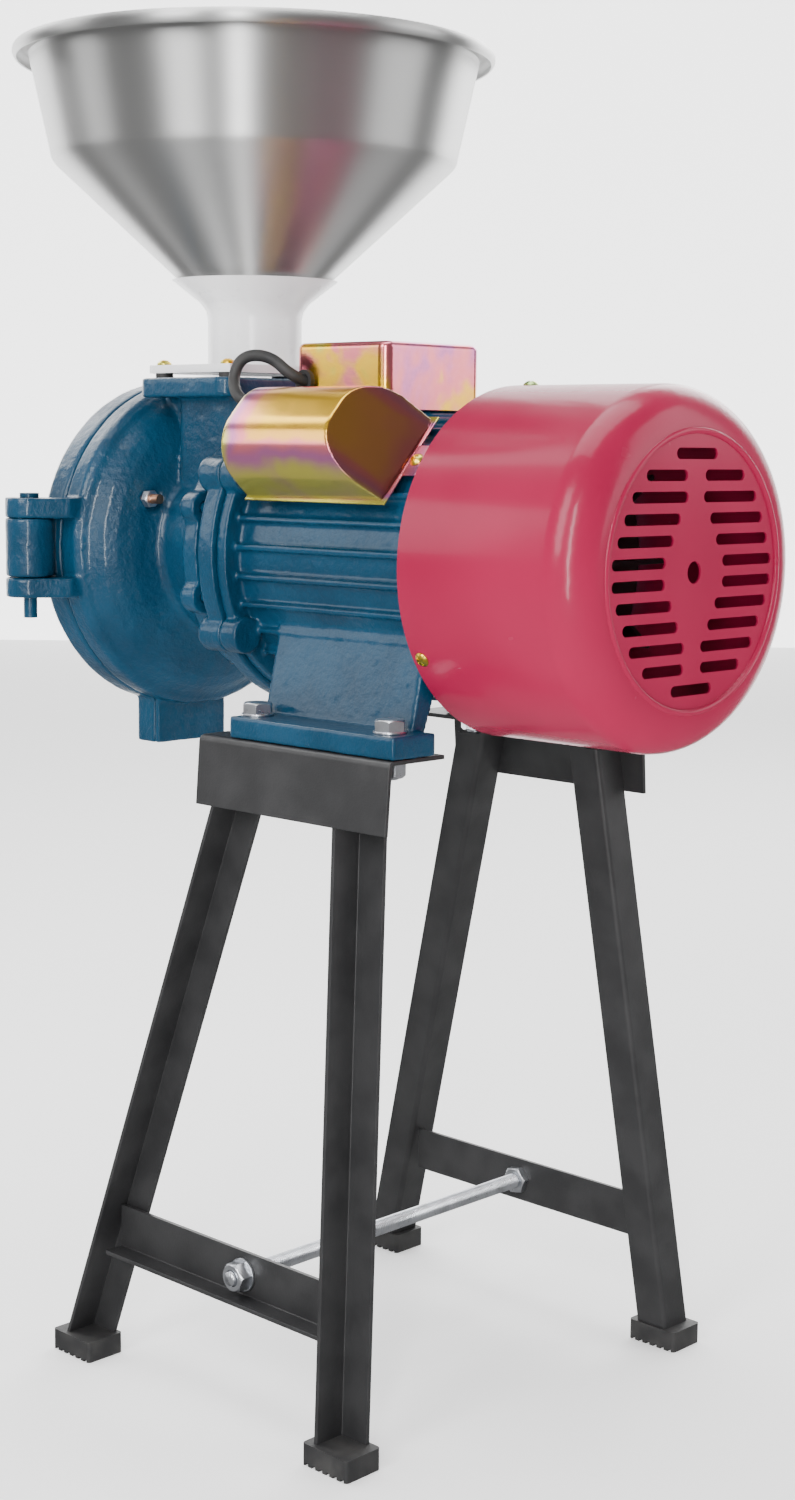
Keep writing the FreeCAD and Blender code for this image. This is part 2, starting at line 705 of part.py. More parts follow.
def grinding_housing():
    """Rim, bowl back, feed neck, inlet column and pad, hinge ears and spout back."""
    profile = [
        (SPLIT, 0), (SPLIT, RIM - 1.5), (SPLIT + 1.5, RIM), (-146, RIM), (-142, 102.5),
        (-140, 99), (-137, 96.5), (-132, 92.5), (-127, 86), (-122, 76), (-119, 68), (-116, 62),
        (-112, val("neck_radius")), (val("neck_flange"), val("neck_radius")),
        (val("neck_flange"), val("neck_flange_radius")),
        (val("shield_front"), val("neck_flange_radius")), (val("shield_front"), 0),
    ]
    body = Part.Face(Part.makePolygon([Vector(x, 0, r) for x, r in profile + [profile[0]]]))
    body = body.revolve(Vector(0, 0, 0), X_AXIS, 360)
    # inlet column and its pad
    column = Part.makeBox(62, 92, val("pad_low") - HEIGHT, Vector(-119, -46, 0))
    column = column.makeFillet(10, [edge for edge in column.Edges if edge.Length > 80 and edge.BoundBox.ZLength > 80])
    pad = Part.makeBox(84, 126, val("pad_top") - val("pad_low"),
                       Vector(val("hopper_x") - 42, -63, val("pad_low") - HEIGHT))
    pad = pad.makeFillet(10, [edge for edge in pad.Edges if edge.BoundBox.ZLength > 5 and edge.BoundBox.XLength < 1
                              and edge.BoundBox.YLength < 1])
    web = polygon_prism([
        Vector(-148, -34, 85), Vector(-136, -34, val("pad_top") - HEIGHT - 1),
        Vector(-100, -34, val("pad_top") - HEIGHT - 1), Vector(-100, -34, 60),
    ], Vector(0, 68, 0))
    body = body.fuse(column).fuse(pad).fuse(web)
    # the chamber, the feed bore and the throat down from the hopper
    body = body.cut(along(val("chamber_radius"), val("chamber_step") - SPLIT + 1, Vector(SPLIT - 1, 0, 0), X_AXIS))
    body = body.cut(along(val("disc_seat"), val("chamber_floor") - SPLIT + 1, Vector(SPLIT - 1, 0, 0), X_AXIS))
    body = body.cut(along(val("feed_bore"), 61, Vector(val("chamber_floor") - 1, 0, 0), X_AXIS))
    throat = Part.makeBox(44, 52, 130, Vector(val("hopper_x") - 22, -26, 0))
    body = body.cut(throat)
    body = body.cut(along(52, 7, Vector(val("shield_front") - 6, 0, 0), X_AXIS))
    body = body.cut(along(15.5, 40, Vector(-80, 0, 0), X_AXIS))
    # neck flange bosses and bolt holes
    for degrees in (20, 160, 200, 340):
        y, z = polar(79, degrees)
        body = body.fuse(along(10, 13, Vector(val("neck_flange"), y, z), X_AXIS))
    for degrees in (20, 160, 200, 340):
        y, z = polar(79, degrees)
        body = body.cut(along(3.3, 20, Vector(val("neck_flange") - 2, y, z), X_AXIS))
    # back half of the spout
    half = val("spout_half")
    spout = Part.makeBox(val("spout_back") - SPLIT, 2 * half, 60,
                         Vector(SPLIT, -half, val("spout_low") - HEIGHT))
    body = body.fuse(spout.cut(along(val("chamber_radius"), 60, Vector(SPLIT - 5, 0, 0), X_AXIS)))
    # stud holes for the fixed disc
    for degrees in (35, 155, 275):
        y, z = polar(73, degrees)
        body = body.cut(along(3.05, 40, Vector(-136, y, z), X_AXIS))
        body = body.cut(along(9, 12, Vector(-120.9, y, z), X_AXIS))
    # hopper screws
    for sx in (-1, 1):
        for sy in (-1, 1):
            at = Vector(val("hopper_x") + sx * val("screw_x"), sy * val("screw_y"), val("pad_low") - HEIGHT - 2)
            body = body.cut(along(2.5, 16, at, Vector(0, 0, 1)))
    body.translate(Vector(0, 0, HEIGHT))
    # hinge ears on the near side
    ear = val("ear_outer")
    knuckle = val("knuckle_half") + 0.3
    for low, high in ((knuckle, ear), (-ear, -knuckle)):
        body = body.fuse(hinge_arm(HEIGHT + low, HEIGHT + high, SPLIT + 0.3, -144, -103))
    body = body.cut(along(val("hinge_pin_radius"), 90, Vector(PIN_X, PIN_Y, HEIGHT - 45), Vector(0, 0, 1)))
    # fork for the swing bolt on the far side
    for y in (104, 123.4):
        cheek = Part.makeBox(26, 8.3 if y < 110 else 7, 22, Vector(SPLIT + 0.3, y, HEIGHT - 11))
        body = body.fuse(cheek)
    floor = Part.makeBox(5.8, 40, 22, Vector(-139.5, 90, HEIGHT - 11))
    body = body.fuse(floor.cut(along(93, 40, Vector(-160, 0, HEIGHT), X_AXIS)))
    body = body.cut(along(4.0, 60, Vector(val("clamp_x"), 95, HEIGHT), Vector(0, 1, 0)))
    return body.removeSplitter()


done(shape("grinding_housing_shape", grinding_housing()), "grinding_housing")


def front_cover():
    """Domed cover with rim, ribs, centre boss, hinge knuckle, clamp lug and spout front."""
    gap = val("split_gap")
    back = SPLIT - gap
    front = val("cover_rim_front")
    profile = [
        (back, 0), (back, RIM - 1.5), (back - 1.5, RIM), (front + 5, RIM), (front + 1.5, RIM - 2),
        (front, RIM - 5.5), (front - 4, 88), (front - 8, 66), (front - 10, 45), (front - 10.5, 23),
        (front - 24, 20), (front - 24, 0),
    ]
    body = Part.Face(Part.makePolygon([Vector(x, 0, r) for x, r in profile + [profile[0]]]))
    body = body.revolve(Vector(0, 0, 0), X_AXIS, 360)
    for i in range(6):
        rib = polygon_prism([
            Vector(front - 1, -4, 96), Vector(front - 15, -4, 30), Vector(front - 20, -4, 14), Vector(front, -4, 14),
        ], Vector(0, 8, 0))
        rib.rotate(Vector(0, 0, 0), X_AXIS, 60 * i + 30)
        body = body.fuse(rib)
    half = val("spout_half")
    spout = Part.makeBox(back - val("spout_front"), 2 * half, 60,
                         Vector(val("spout_front"), -half, val("spout_low") - HEIGHT))
    body = body.fuse(spout)
    # the chamber side: a deep recess, then a shallow cone towards the boss
    recess_profile = [(back + 1, 0), (back + 1, 92), (-173, 92), (-176, 86), (-180, 40), (-180, 0)]
    recess = Part.Face(Part.makePolygon([Vector(x, 0, r) for x, r in recess_profile + [recess_profile[0]]]))
    body = body.cut(recess.revolve(Vector(0, 0, 0), X_AXIS, 360))
    wall = val("spout_wall")
    mouth = Part.makeBox(back + 1 - val("spout_front") - wall, 2 * (half - wall), 80,
                         Vector(val("spout_front") + wall, wall - half, val("spout_low") - HEIGHT - 10))
    body = body.cut(mouth)
    body = body.cut(along(6.05, 60, Vector(front - 30, 0, 0), X_AXIS))
    body.translate(Vector(0, 0, HEIGHT))
    # hinge knuckle between the ears
    knuckle = val("knuckle_half")
    radius = val("hinge_radius")
    barrel = along(radius, 2 * knuckle, Vector(PIN_X, PIN_Y, HEIGHT - knuckle), Vector(0, 0, 1))
    arm = Part.makeBox(16, 26, 2 * knuckle, Vector(-181, -122, HEIGHT - knuckle))
    arm = arm.cut(along(95, 60, Vector(-200, 0, HEIGHT), X_AXIS))
    body = body.fuse(barrel).fuse(arm)
    body = body.cut(along(val("hinge_pin_radius") + 0.05, 90, Vector(PIN_X, PIN_Y, HEIGHT - 45), Vector(0, 0, 1)))
    # clamp lug on the far side, slotted from below for the swing bolt
    lug = Part.makeBox(18, 36, 17, Vector(-181, 98, HEIGHT - 5))
    lug = lug.cut(along(95, 60, Vector(-200, 0, HEIGHT), X_AXIS))
    slot = Part.makeBox(40, 9.4, 20, Vector(-190, val("clamp_y") - 4.7, HEIGHT - 15))
    return body.fuse(lug.cut(slot)).removeSplitter()


done(shape("front_cover_shape", front_cover()), "front_cover")

pin = fuse(
    "hinge_pin_fused",
    rod("pin_shank", "hinge_pin_radius", "76.5", "z", "hinge_x", "hinge_y", "shaft_height - 44"),
    rod("pin_head", "6", "3", "z", "hinge_x", "hinge_y", "shaft_height + ear_outer"),
)
done(pin, "hinge_pin")

studs = []
stud_nuts = []
for degrees in (35, 155, 275):
    y, z = polar(73, degrees)
    studs.append(along(3.0, 28, Vector(-137, y, z + HEIGHT), X_AXIS))
    stud_nuts.append(nut(10, 5, 3.0, Vector(-120.9, y, z + HEIGHT), X_AXIS, degrees))
done(shape("disc_studs_shape", Part.makeCompound(studs)), "disc_studs")
done(shape("disc_stud_nuts_shape", Part.makeCompound(stud_nuts)), "disc_stud_nuts")
fixed = [piece for piece in finished if piece.Label == "fixed_disc"][0]
bored = fixed.Shape
for degrees in (35, 155, 275):
    y, z = polar(73, degrees)
    bored = bored.cut(along(3.0, 8, Vector(-137, y, z + HEIGHT), X_AXIS))
fixed.Shape = bored

neck_bolts = []
for degrees in (20, 160, 200, 340):
    y, z = polar(79, degrees)
    neck_bolts.append(hex_bolt(10, 5, 3.2, 19, Vector(val("neck_flange"), y, z + HEIGHT), -X_AXIS, degrees))
done(shape("neck_bolts_shape", Part.makeCompound(neck_bolts)), "neck_bolts")
shield = [piece for piece in finished if piece.Label == "front_end_shield"][0]
finished.remove(shield)
shield.Label = "front_end_shield_undrilled"
tools = []
for i, degrees in enumerate((20, 160, 200, 340)):
    y, z = polar(79, degrees)
    tools.append(rod(f"neck_hole_{i}", "3.2", "8", "x", "shield_front", str(y), f"shaft_height + {z}"))
done(cut("front_end_shield_drilled", shield, *tools), "front_end_shield")

seal = turned("shaft_seal_body", [
    ("-76", "12.6"), ("-76", "15.4"), ("-64", "15.4"), ("-64", "12.6"),
])
done(seal, "shaft_seal")

# gap screw with its knob, and the lock nut against the boss
screw = turned("gap_screw_body", [
    ("-158.9", "0"), ("-158.9", "5"), ("-160", "6"), ("-240", "6"), ("-240", "0"),
])
done(screw, "gap_screw")
lock_nut = nut(19, 8, 6.05, Vector(-206.4, 0, HEIGHT), -X_AXIS, 12)
done(shape("gap_lock_nut_shape", lock_nut), "gap_lock_nut")


def star_knob(radius, front, back, bore, lobes, centre):
    """A lobed hand knob with a hub, turned about X."""
    knob = along(radius * 0.82, back - front, Vector(front, 0, 0), X_AXIS)
    for i in range(lobes):
        y, z = polar(radius * 0.72, 360 * i / lobes)
        knob = knob.fuse(along(radius * 0.28, back - front, Vector(front, y, z), X_AXIS))
    knob = knob.fuse(along(radius * 0.4, back - front + 8, Vector(front, 0, 0), X_AXIS))
    knob = knob.cut(along(bore, back - front + 7, Vector(front + 4, 0, 0), X_AXIS)).removeSplitter()
    knob.translate(centre)
    return knob


done(shape("gap_knob_shape", star_knob(32, -257, -239, 6, 6, Vector(0, 0, HEIGHT))), "gap_knob")

# swing bolt, hanging from its pivot on the far side, with its hand nut
swing_eye = along(9.5, 10, Vector(val("clamp_x"), val("clamp_y") - 5, HEIGHT), Y_AXIS)
swing = swing_eye.fuse(along(4.2, 58, Vector(val("clamp_x"), val("clamp_y"), HEIGHT), -UP))
swing = swing.cut(along(4.05, 20, Vector(val("clamp_x"), val("clamp_y") - 10, HEIGHT), Y_AXIS))
done(shape("swing_bolt_shape", swing.removeSplitter()), "swing_bolt")
hand_nut = star_knob(15, 0, 12, 4.25, 5, Vector(0, 0, 0))
hand_nut = hand_nut.cut(along(4.25, 60, Vector(-20, 0, 0), X_AXIS))
hand_nut.Placement = Placement(Vector(val("clamp_x"), val("clamp_y"), HEIGHT - 51.6), Rotation(X_AXIS, UP))
done(shape("swing_nut_shape", hand_nut), "swing_nut")
clamp_pin = rod("clamp_pin_rod", "4", "27", "y", "clamp_x", "103.9", "shaft_height")
done(clamp_pin, "clamp_pin")

# ------------------------------------------------------------------ hopper and collar
hopper = turned("hopper_body", [
    ("26.4", "640"), ("27.4", "640"), ("27.4", "651"), ("cone_low_radius", "cone_low + 1.4"),
    ("kink_radius", "kink_height"), ("139.5", "803"), ("141", "807.4"), ("143.5", "808.9"),
    ("146.5", "809"), ("148.4", "808"), ("149", "805.8"), ("149", "802.5"), ("lip_radius", "802.5"),
    ("lip_radius", "806.4"), ("149", "809"), ("146.8", "lip_height"), ("143", "lip_height"),
    ("140.2", "808.2"), ("138.5", "803.4"), ("kink_radius - hopper_wall", "kink_height + 0.3"),
    ("cone_low_radius - 0.9", "cone_low + 2"), ("26.4", "651.6"),
], x="hopper_x", z="0", upright=True)
done(hopper, "hopper")

collar_tube = turned("collar_tube", [
    ("27.6", "flange_low"), ("tube_radius", "flange_low"), ("tube_radius", "flare_low"),
    ("31", "650.5"), ("34.5", "655.5"), ("cone_low_radius - 0.4", "cone_low"),
    ("cone_low_radius - 2.2", "cone_low - 0.9"), ("31", "653.6"), ("27.6", "650.6"),
], x="hopper_x", z="0", upright=True)
flange = box("collar_flange", "hopper_x - flange_half_x", "-flange_half_y", "flange_low",
             "2 * flange_half_x", "2 * flange_half_y", "flange_top - flange_low")
collar_holes = [rod("collar_bore", "27.6", "20", "z", "hopper_x", "0", "flange_low - 5")]
for sx in (-1, 1):
    for sy in (-1, 1):
        collar_holes.append(rod(f"collar_hole_{sx + 1}{sy + 1}", "2.5", "20", "z",
                                f"hopper_x + {sx} * screw_x", f"{sy} * screw_y", "flange_low - 5"))
collar = cut("collar_bored", fuse("collar_fused", collar_tube, flange), *collar_holes)
done(collar, "collar")

collar_screws = []
spacers = []
for sx in (-1, 1):
    for sy in (-1, 1):
        x = val("hopper_x") + sx * val("screw_x")
        y = sy * val("screw_y")
        collar_screws.append(pan_screw(4.6, 3.4, 2.5, 19, Vector(x, y, val("flange_top")), UP))
        gap = val("flange_low") - val("pad_top")
        spacers.append(washer(5.5, 2.5, gap, Vector(x, y, val("pad_top")), UP))
done(shape("collar_screws_shape", Part.makeCompound(collar_screws)), "collar_screws")
done(shape("collar_spacers_shape", Part.makeCompound(spacers)), "collar_spacers")

# ------------------------------------------------------------------ covers on the motor
TILT = math.radians(val("capsule_tilt"))
OUTWARD = Vector(0, -math.cos(TILT), math.sin(TILT))
SIDEWAYS = Vector(0, math.sin(TILT), math.cos(TILT))


def hat(shrink, front, back):
    """The capacitor cover's solid form: an arch with a sloping rear end."""
    half = val("capsule_half") - shrink
    base = val("capsule_base")
    top = val("capsule_top") - shrink
    corner = val("capsule_corner") - shrink
    lean = corner * math.sin(math.pi / 4)

    def at(side, rise):
        return Vector(front, 0, HEIGHT) + SIDEWAYS * side + OUTWARD * rise

    edges = [
        Part.LineSegment(at(-half, base), at(-half, top - corner)).toShape(),
        Part.Arc(at(-half, top - corner), at(lean * -1 - half + corner, top - corner + lean),
                 at(corner - half, top)).toShape(),
        Part.LineSegment(at(corner - half, top), at(half - corner, top)).toShape(),
        Part.Arc(at(half - corner, top), at(half - corner + lean, top - corner + lean),
                 at(half, top - corner)).toShape(),
        Part.LineSegment(at(half, top - corner), at(half, base)).toShape(),
        Part.LineSegment(at(half, base), at(-half, base)).toShape(),
    ]
    arch = Part.Face(Part.Wire(edges)).extrude(Vector(back - front, 0, 0))
    slope = 27.0
    corners = [
        Vector(back - slope, 0, HEIGHT) + OUTWARD * (top + 0.5) + SIDEWAYS * -60,
        Vector(back + 1, 0, HEIGHT) + OUTWARD * (base - 1) + SIDEWAYS * -60,
        Vector(back + 60, 0, HEIGHT) + OUTWARD * (base - 1) + SIDEWAYS * -60,
        Vector(back + 60, 0, HEIGHT) + OUTWARD * (top + 20) + SIDEWAYS * -60,
        Vector(back - slope - 9, 0, HEIGHT) + OUTWARD * (top + 20) + SIDEWAYS * -60,
    ]
    return arch.cut(polygon_prism(corners, SIDEWAYS * 120))


CAP_FRONT = val("capsule_front")
CAP_BACK = val("capsule_back")
TIN = val("tin_wall")


def capacitor_cover():
    """A pressed shell with a screw tab at each end."""
    shell = hat(0, CAP_FRONT, CAP_BACK).cut(hat(TIN, CAP_FRONT + TIN, CAP_BACK - TIN))
    open_base = polygon_prism([
        Vector(CAP_FRONT + TIN, 0, HEIGHT) + OUTWARD * (val("capsule_base") - 2) + SIDEWAYS * -(29.8),
        Vector(CAP_BACK - TIN, 0, HEIGHT) + OUTWARD * (val("capsule_base") - 2) + SIDEWAYS * -(29.8),
        Vector(CAP_BACK - TIN, 0, HEIGHT) + OUTWARD * (val("capsule_base") - 2) + SIDEWAYS * 29.8,
        Vector(CAP_FRONT + TIN, 0, HEIGHT) + OUTWARD * (val("capsule_base") - 2) + SIDEWAYS * 29.8,
    ], OUTWARD * 3.0)
    shell = shell.cut(open_base)
    tab = Part.makeBox(17, 22, TIN)
    tab.Placement = Placement(
        Vector(CAP_BACK - 3, 0, HEIGHT) + OUTWARD * val("capsule_base") + SIDEWAYS * -11,
        Rotation(X_AXIS, SIDEWAYS, OUTWARD, "ZXY"))
    shell = shell.fuse(tab)
    hole = along(2.0, 12, Vector(val("tab_screw"), 0, HEIGHT) + OUTWARD * (val("capsule_base") - 5), OUTWARD)
    cable_way = along(val("cable_radius"), 10, Vector(CAP_FRONT - 5, -72, 591), X_AXIS)
    return shell.cut(hole).cut(cable_way).removeSplitter()


done(shape("capacitor_cover_shape", capacitor_cover()), "capacitor_cover")
tab_top = Vector(val("tab_screw"), 0, HEIGHT) + OUTWARD * (val("capsule_base") + TIN)
done(shape("capacitor_cover_screw_shape", pan_screw(4.2, 2.6, 1.95, 5, tab_top, OUTWARD)), "capacitor_cover_screw")
can = along(16, 68, Vector(2, 0, HEIGHT) + OUTWARD * 104, X_AXIS)
for side in (-5, 5):
    terminal = Part.makeBox(8, 1, 6)
    terminal.Placement = Placement(Vector(69, 0, HEIGHT) + OUTWARD * 101 + SIDEWAYS * side,
                                   Rotation(X_AXIS, SIDEWAYS, OUTWARD, "ZXY"))
    can = can.fuse(terminal)
done(shape("capacitor_shape", can), "capacitor")


def terminal_box():
    """A pressed rectangular cover with rounded corners, open below."""
    front = val("box_front")
    back = val("box_back")
    half = val("box_half")
    low = val("box_low")
    top = val("box_top")

    def form(shrink, base):
        block = Part.makeBox(back - front - 2 * shrink, 2 * half - 2 * shrink, top - shrink - base,
                             Vector(front + shrink, shrink - half, base))
        upright = [edge for edge in block.Edges if edge.BoundBox.ZLength > 20]
        block = block.makeFillet(7 - shrink, upright)
        rim = [edge for edge in block.Edges if edge.BoundBox.ZMin > top - shrink - 0.1]
        return block.makeFillet(4 - shrink, rim)

    shell = form(0, low).cut(form(TIN, low - 5))
    return shell.cut(along(val("cable_radius"), 8, Vector(-2.4, -half - 4, 604.4), Y_AXIS))


done(shape("terminal_box_shape", terminal_box()), "terminal_box")
block = box("terminal_block_base", "5", "-22", "box_low", "34", "44", "14")
ridges = [box(f"terminal_wall_{i}", "5", str(-22 + 10.7 * i), "box_low + 14", "34", "1.2", "6") for i in range(5)]
done(fuse("terminal_block_fused", block, *ridges), "terminal_block")

# The jumper cable between the two covers, over its route of hand-set points.
CABLE_ROUTE = [
    (-5, -72, 591), (-26, -72, 591), (-41, -67, 604), (-38, -62, 620),
    (-19, -56, 620), (-4.5, -51, 607), (-2, -38.5, 604),
]


def cable(points, radius):
    """A tube of straight runs joined by tangent arcs, and the length of its middle line."""
    nodes = [Vector(*point) for point in points]
    edges = []
    last = nodes[0]
    for i in range(1, len(nodes) - 1):
        before = nodes[i - 1] - nodes[i]
        after = nodes[i + 1] - nodes[i]
        run = min(before.Length, after.Length)
        turn = math.pi - before.getAngle(after)
        reach = 0.45 * run
        bend = reach / math.tan(turn / 2)
        into = nodes[i] + before.normalize() * reach
        out = nodes[i] + after.normalize() * reach
        inward = (before + after).normalize()
        middle = nodes[i] + inward * (bend / math.cos(turn / 2) - bend)
        edges.append(Part.LineSegment(last, into).toShape())
        edges.append(Part.Arc(into, middle, out).toShape())
        print(f"cable bend {i}: radius {bend:.1f}")
        last = out
    edges.append(Part.LineSegment(last, nodes[-1]).toShape())
    path = Part.Wire(edges)
    start = Part.makeCircle(radius, nodes[0], nodes[1] - nodes[0])
    tube = path.makePipeShell([Part.Wire(start)], True, False)
    print(f"cable volume ratio {tube.Volume / (math.pi * radius ** 2 * path.Length):.4f}, length {path.Length:.1f}")
    return tube


done(shape("jumper_cable_shape", cable(CABLE_ROUTE, val("cable_radius"))), "jumper_cable")
grommets = [
    washer(6.4, val("cable_radius"), 3.2, Vector(CAP_FRONT, -72, 591), -X_AXIS),
    washer(6.8, 4.4, 3.2, Vector(-2.8, -val("box_half"), 605), -Y_AXIS),
]
done(shape("cable_grommets_shape", Part.makeCompound(grommets)), "cable_grommets")

# ------------------------------------------------------------------ stand


def bracket(side):
    """An angle plate: flat under the foot, with a flange down the outside."""
    front = val("bracket_front")
    back = val("bracket_back")
    wall = val("sheet_wall")
    edge = val("bracket_edge")
    top = val("bracket_top")
    inner = val("bracket_inner")
    low = val("bracket_low")
    splay = 3.0
    bend = val("bend_radius")
    corners = [
        (inner, top, 0), (edge, top, bend), (edge + splay, low, 0),
        (edge + splay - wall, low, 0), (edge - wall, top - wall, bend - wall), (inner, top - wall, 0),
    ]
    section = [Vector(front, side * y, z) for y, z in rounded(corners)]
    body = polygon_prism(section, Vector(back - front, 0, 0))
    for x in (val("bolt_first"), val("bolt_second")):
        body = body.cut(along(5.3, 20, Vector(x, side * val("bolt_side"), top - 10), UP))
    return body


def lean_line(top, foot, height):
    """A point on a leg's edge line at the given height."""
    share = (height - val("leg_foot")) / (val("leg_top") - val("leg_foot"))
    return foot + (top - foot) * share


# Each leg's edge at its top and foot: X of the near-left corner of its section.
LEGS = {
    "leg_near_left": (-1, 3.5, -110.0),
    "leg_near_right": (-1, 91.8, 118.3),
    "leg_far_left": (1, 7.5, -108.5),
    "leg_far_right": (1, 97.0, 136.0),
}

# The span of X in which each leg's top stops short, clear of the foot bolt's nut.
NUT_CLEARANCE = {
    "leg_near_left": (-200, 200),
    "leg_near_right": (-200, 200),
    "leg_far_left": (-200, 23.5),
    "leg_far_right": (111.5, 200),
}


def leg(side, top_x, foot_x):
    """An angle iron between the bracket and its shoe, its open side facing outwards."""
    flange_size = val("leg_flange")
    wall = val("leg_wall")

    def section(x, y, z):
        # near legs have their corner at -X, far legs at +X
        corner = x if side < 0 else x + flange_size
        way = 1 if side < 0 else -1
        corners = [
            (0, flange_size, 0), (0, 0, 3.2), (flange_size, 0, 0),
            (flange_size, wall, 0), (wall, wall, 0.6), (wall, flange_size, 0),
        ]
        points = [(corner + way * u, y + side * v) for u, v in rounded(corners)]
        nodes = [Vector(px, py, z) for px, py in points]
        return Part.makePolygon(nodes + [nodes[0]])

    top = section(top_x, side * val("leg_top_y"), val("leg_top") + 1.0)
    foot = section(foot_x, side * val("leg_foot_y"), val("leg_foot"))
    iron = Part.makeLoft([foot, top], True, True)
    if iron.Volume < 0:
        iron.reverse()
    return iron


for label, side in (("near_top_bracket", -1), ("far_top_bracket", 1)):
    done(shape(label + "_shape", bracket(side)), label)
leg_solids = {}
for label, (side, top_x, foot_x) in LEGS.items():
    trimmed = leg(side, top_x, foot_x).common(Part.makeBox(600, 600, 391, Vector(-300, -300, val("leg_foot"))))
    own_bracket = bracket(side)
    begin, end = NUT_CLEARANCE[label]
    notch = Part.makeBox(end - begin, 600, 40, Vector(begin, -300, val("leg_notch")))
    leg_solids[label] = trimmed.cut(notch).cut(own_bracket)
    done(shape(label + "_shape", leg_solids[label]), label)


def lower_rail(side, left, right):
    """An angle iron between the two legs of one trestle, its flange at the bottom and outwards."""
    low = val("rail_low")
    high = val("rail_high")
    wall = val("sheet_wall")
    y = side * (lean_line(val("leg_top_y"), val("leg_foot_y"), low) + val("leg_wall") + 0.1)
    depth = val("rail_depth")
    left_high = lean_line(LEGS[left][1], LEGS[left][2], high)
    right_high = lean_line(LEGS[right][1], LEGS[right][2], high)
    start = left_high + (val("leg_wall") if side < 0 else val("leg_flange")) + 0.2
    end = right_high - 0.3 if side < 0 else right_high + 16
    corners = [
        (0, low, 3), (depth, low, 0), (depth, low + wall, 0), (wall, low + wall, 0.6),
        (wall, high, 0), (0, high, 0),
    ]
    section = [Vector(start, y + side * v, z) for v, z in rounded(corners)]
    body = polygon_prism(section, Vector(end - start, 0, 0))
    body = body.cut(along(5.5, 12, Vector(val("rod_x"), y - side * 6, val("rod_height")), Y_AXIS * side))
    return body, y


near_rail, near_web = lower_rail(-1, "leg_near_left", "leg_near_right")
far_rail, far_web = lower_rail(1, "leg_far_left", "leg_far_right")
done(shape("near_lower_rail_shape", near_rail), "near_lower_rail")
done(shape("far_lower_rail_shape", far_rail), "far_lower_rail")


def shoe(side, foot_x):
    """A moulded shoe around the leg's end with a ribbed sole."""
    long = val("shoe_x")
    wide = val("shoe_y")
    tall = val("shoe_height")
    middle_x = foot_x + val("leg_flange") / 2
    middle_y = side * (val("leg_foot_y") + val("leg_flange") / 2)
    body = Part.makeBox(long, wide, tall, Vector(middle_x - long / 2, middle_y - wide / 2, 0))
    corners = [edge for edge in body.Edges if edge.BoundBox.ZLength > 5]
    body = body.makeFillet(2.5, corners)
    for i in range(6):
        groove = Part.makeBox(2.6, wide + 2, 1.6, Vector(middle_x - long / 2 + 2.6 + 5.7 * i, middle_y - wide / 2 - 1, 0))
        body = body.cut(groove)
    return body


shoes = []
for label, (side, top_x, foot_x) in LEGS.items():
    shoes.append(shoe(side, foot_x).cut(leg_solids[label]))
done(shape("rubber_shoes_shape", Part.makeCompound(shoes)), "rubber_shoes")

ROD_FRONT = near_web - val("rod_stickout")
ROD_BACK = far_web + val("rod_stickout")
tie = along(val("rod_radius"), ROD_BACK - ROD_FRONT, Vector(val("rod_x"), ROD_FRONT, val("rod_height")), Y_AXIS)
done(shape("tie_rod_shape", tie), "tie_rod")
rod_nuts = []
rod_washers = []
for web, side in ((near_web, -1), (far_web, 1)):
    outward = Y_AXIS * side
    face = web + side * val("sheet_wall")
    centre = Vector(val("rod_x"), face, val("rod_height"))
    rod_washers.append(washer(10, 5.0, 1.6, centre, outward))
    rod_nuts.append(nut(16, 8, 5.0, centre + outward * 1.6, outward, 10))
    inner = Vector(val("rod_x"), web, val("rod_height"))
    rod_nuts.append(nut(16, 5, 5.0, inner, outward * -1, 10))
done(shape("tie_rod_nuts_shape", Part.makeCompound(rod_nuts)), "tie_rod_nuts")
done(shape("tie_rod_washers_shape", Part.makeCompound(rod_washers)), "tie_rod_washers")

foot_bolts = []
foot_washers = []
foot_nuts = []
for side in (-1, 1):
    for x in (val("bolt_first"), val("bolt_second")):
        on_foot = Vector(x, side * val("bolt_side"), val("foot_top"))
        under = Vector(x, side * val("bolt_side"), val("bracket_top") - val("sheet_wall"))
        foot_washers.append(washer(9.5, 5.0, 1.4, on_foot, UP))
        foot_washers.append(washer(9.5, 5.0, 1.4, under, -UP))
        foot_bolts.append(hex_bolt(16, 6.4, 5.0, 27, on_foot + UP * 1.4, UP, 18 + 7 * side))
        foot_nuts.append(nut(16, 8, 5.0, under - UP * 1.4, -UP, 25))
done(shape("foot_bolts_shape", Part.makeCompound(foot_bolts)), "foot_bolts")
done(shape("foot_washers_shape", Part.makeCompound(foot_washers)), "foot_washers")
done(shape("foot_nuts_shape", Part.makeCompound(foot_nuts)), "foot_nuts")

# ------------------------------------------------------------------ checks and export
doc.recompute()
faults = []
for item in doc.Objects:
    if "Invalid" in item.State or "Error" in item.State:
        faults.append(f"{item.Label}: {item.State}")
for piece in finished:
    if piece.Shape.isNull() or not piece.Shape.isValid() or not piece.Shape.Solids:
        faults.append(f"{piece.Label}: shape is empty or not valid")
if faults:
    raise SystemExit("\n".join(faults))
os.makedirs("parts", exist_ok=True)
labels = [piece.Label for piece in finished]
if len(set(labels)) != len(labels):
    raise SystemExit("two sub-parts share a label")
for piece in finished:
    piece.Shape.exportStep(f"parts/{piece.Label}.step")
    extent = piece.Shape.BoundBox
    print(f"{piece.Label:26s} solids {len(piece.Shape.Solids):2d} X {extent.XMin:7.1f} {extent.XMax:7.1f}"
          f" Y {extent.YMin:7.1f} {extent.YMax:7.1f} Z {extent.ZMin:7.1f} {extent.ZMax:7.1f}")
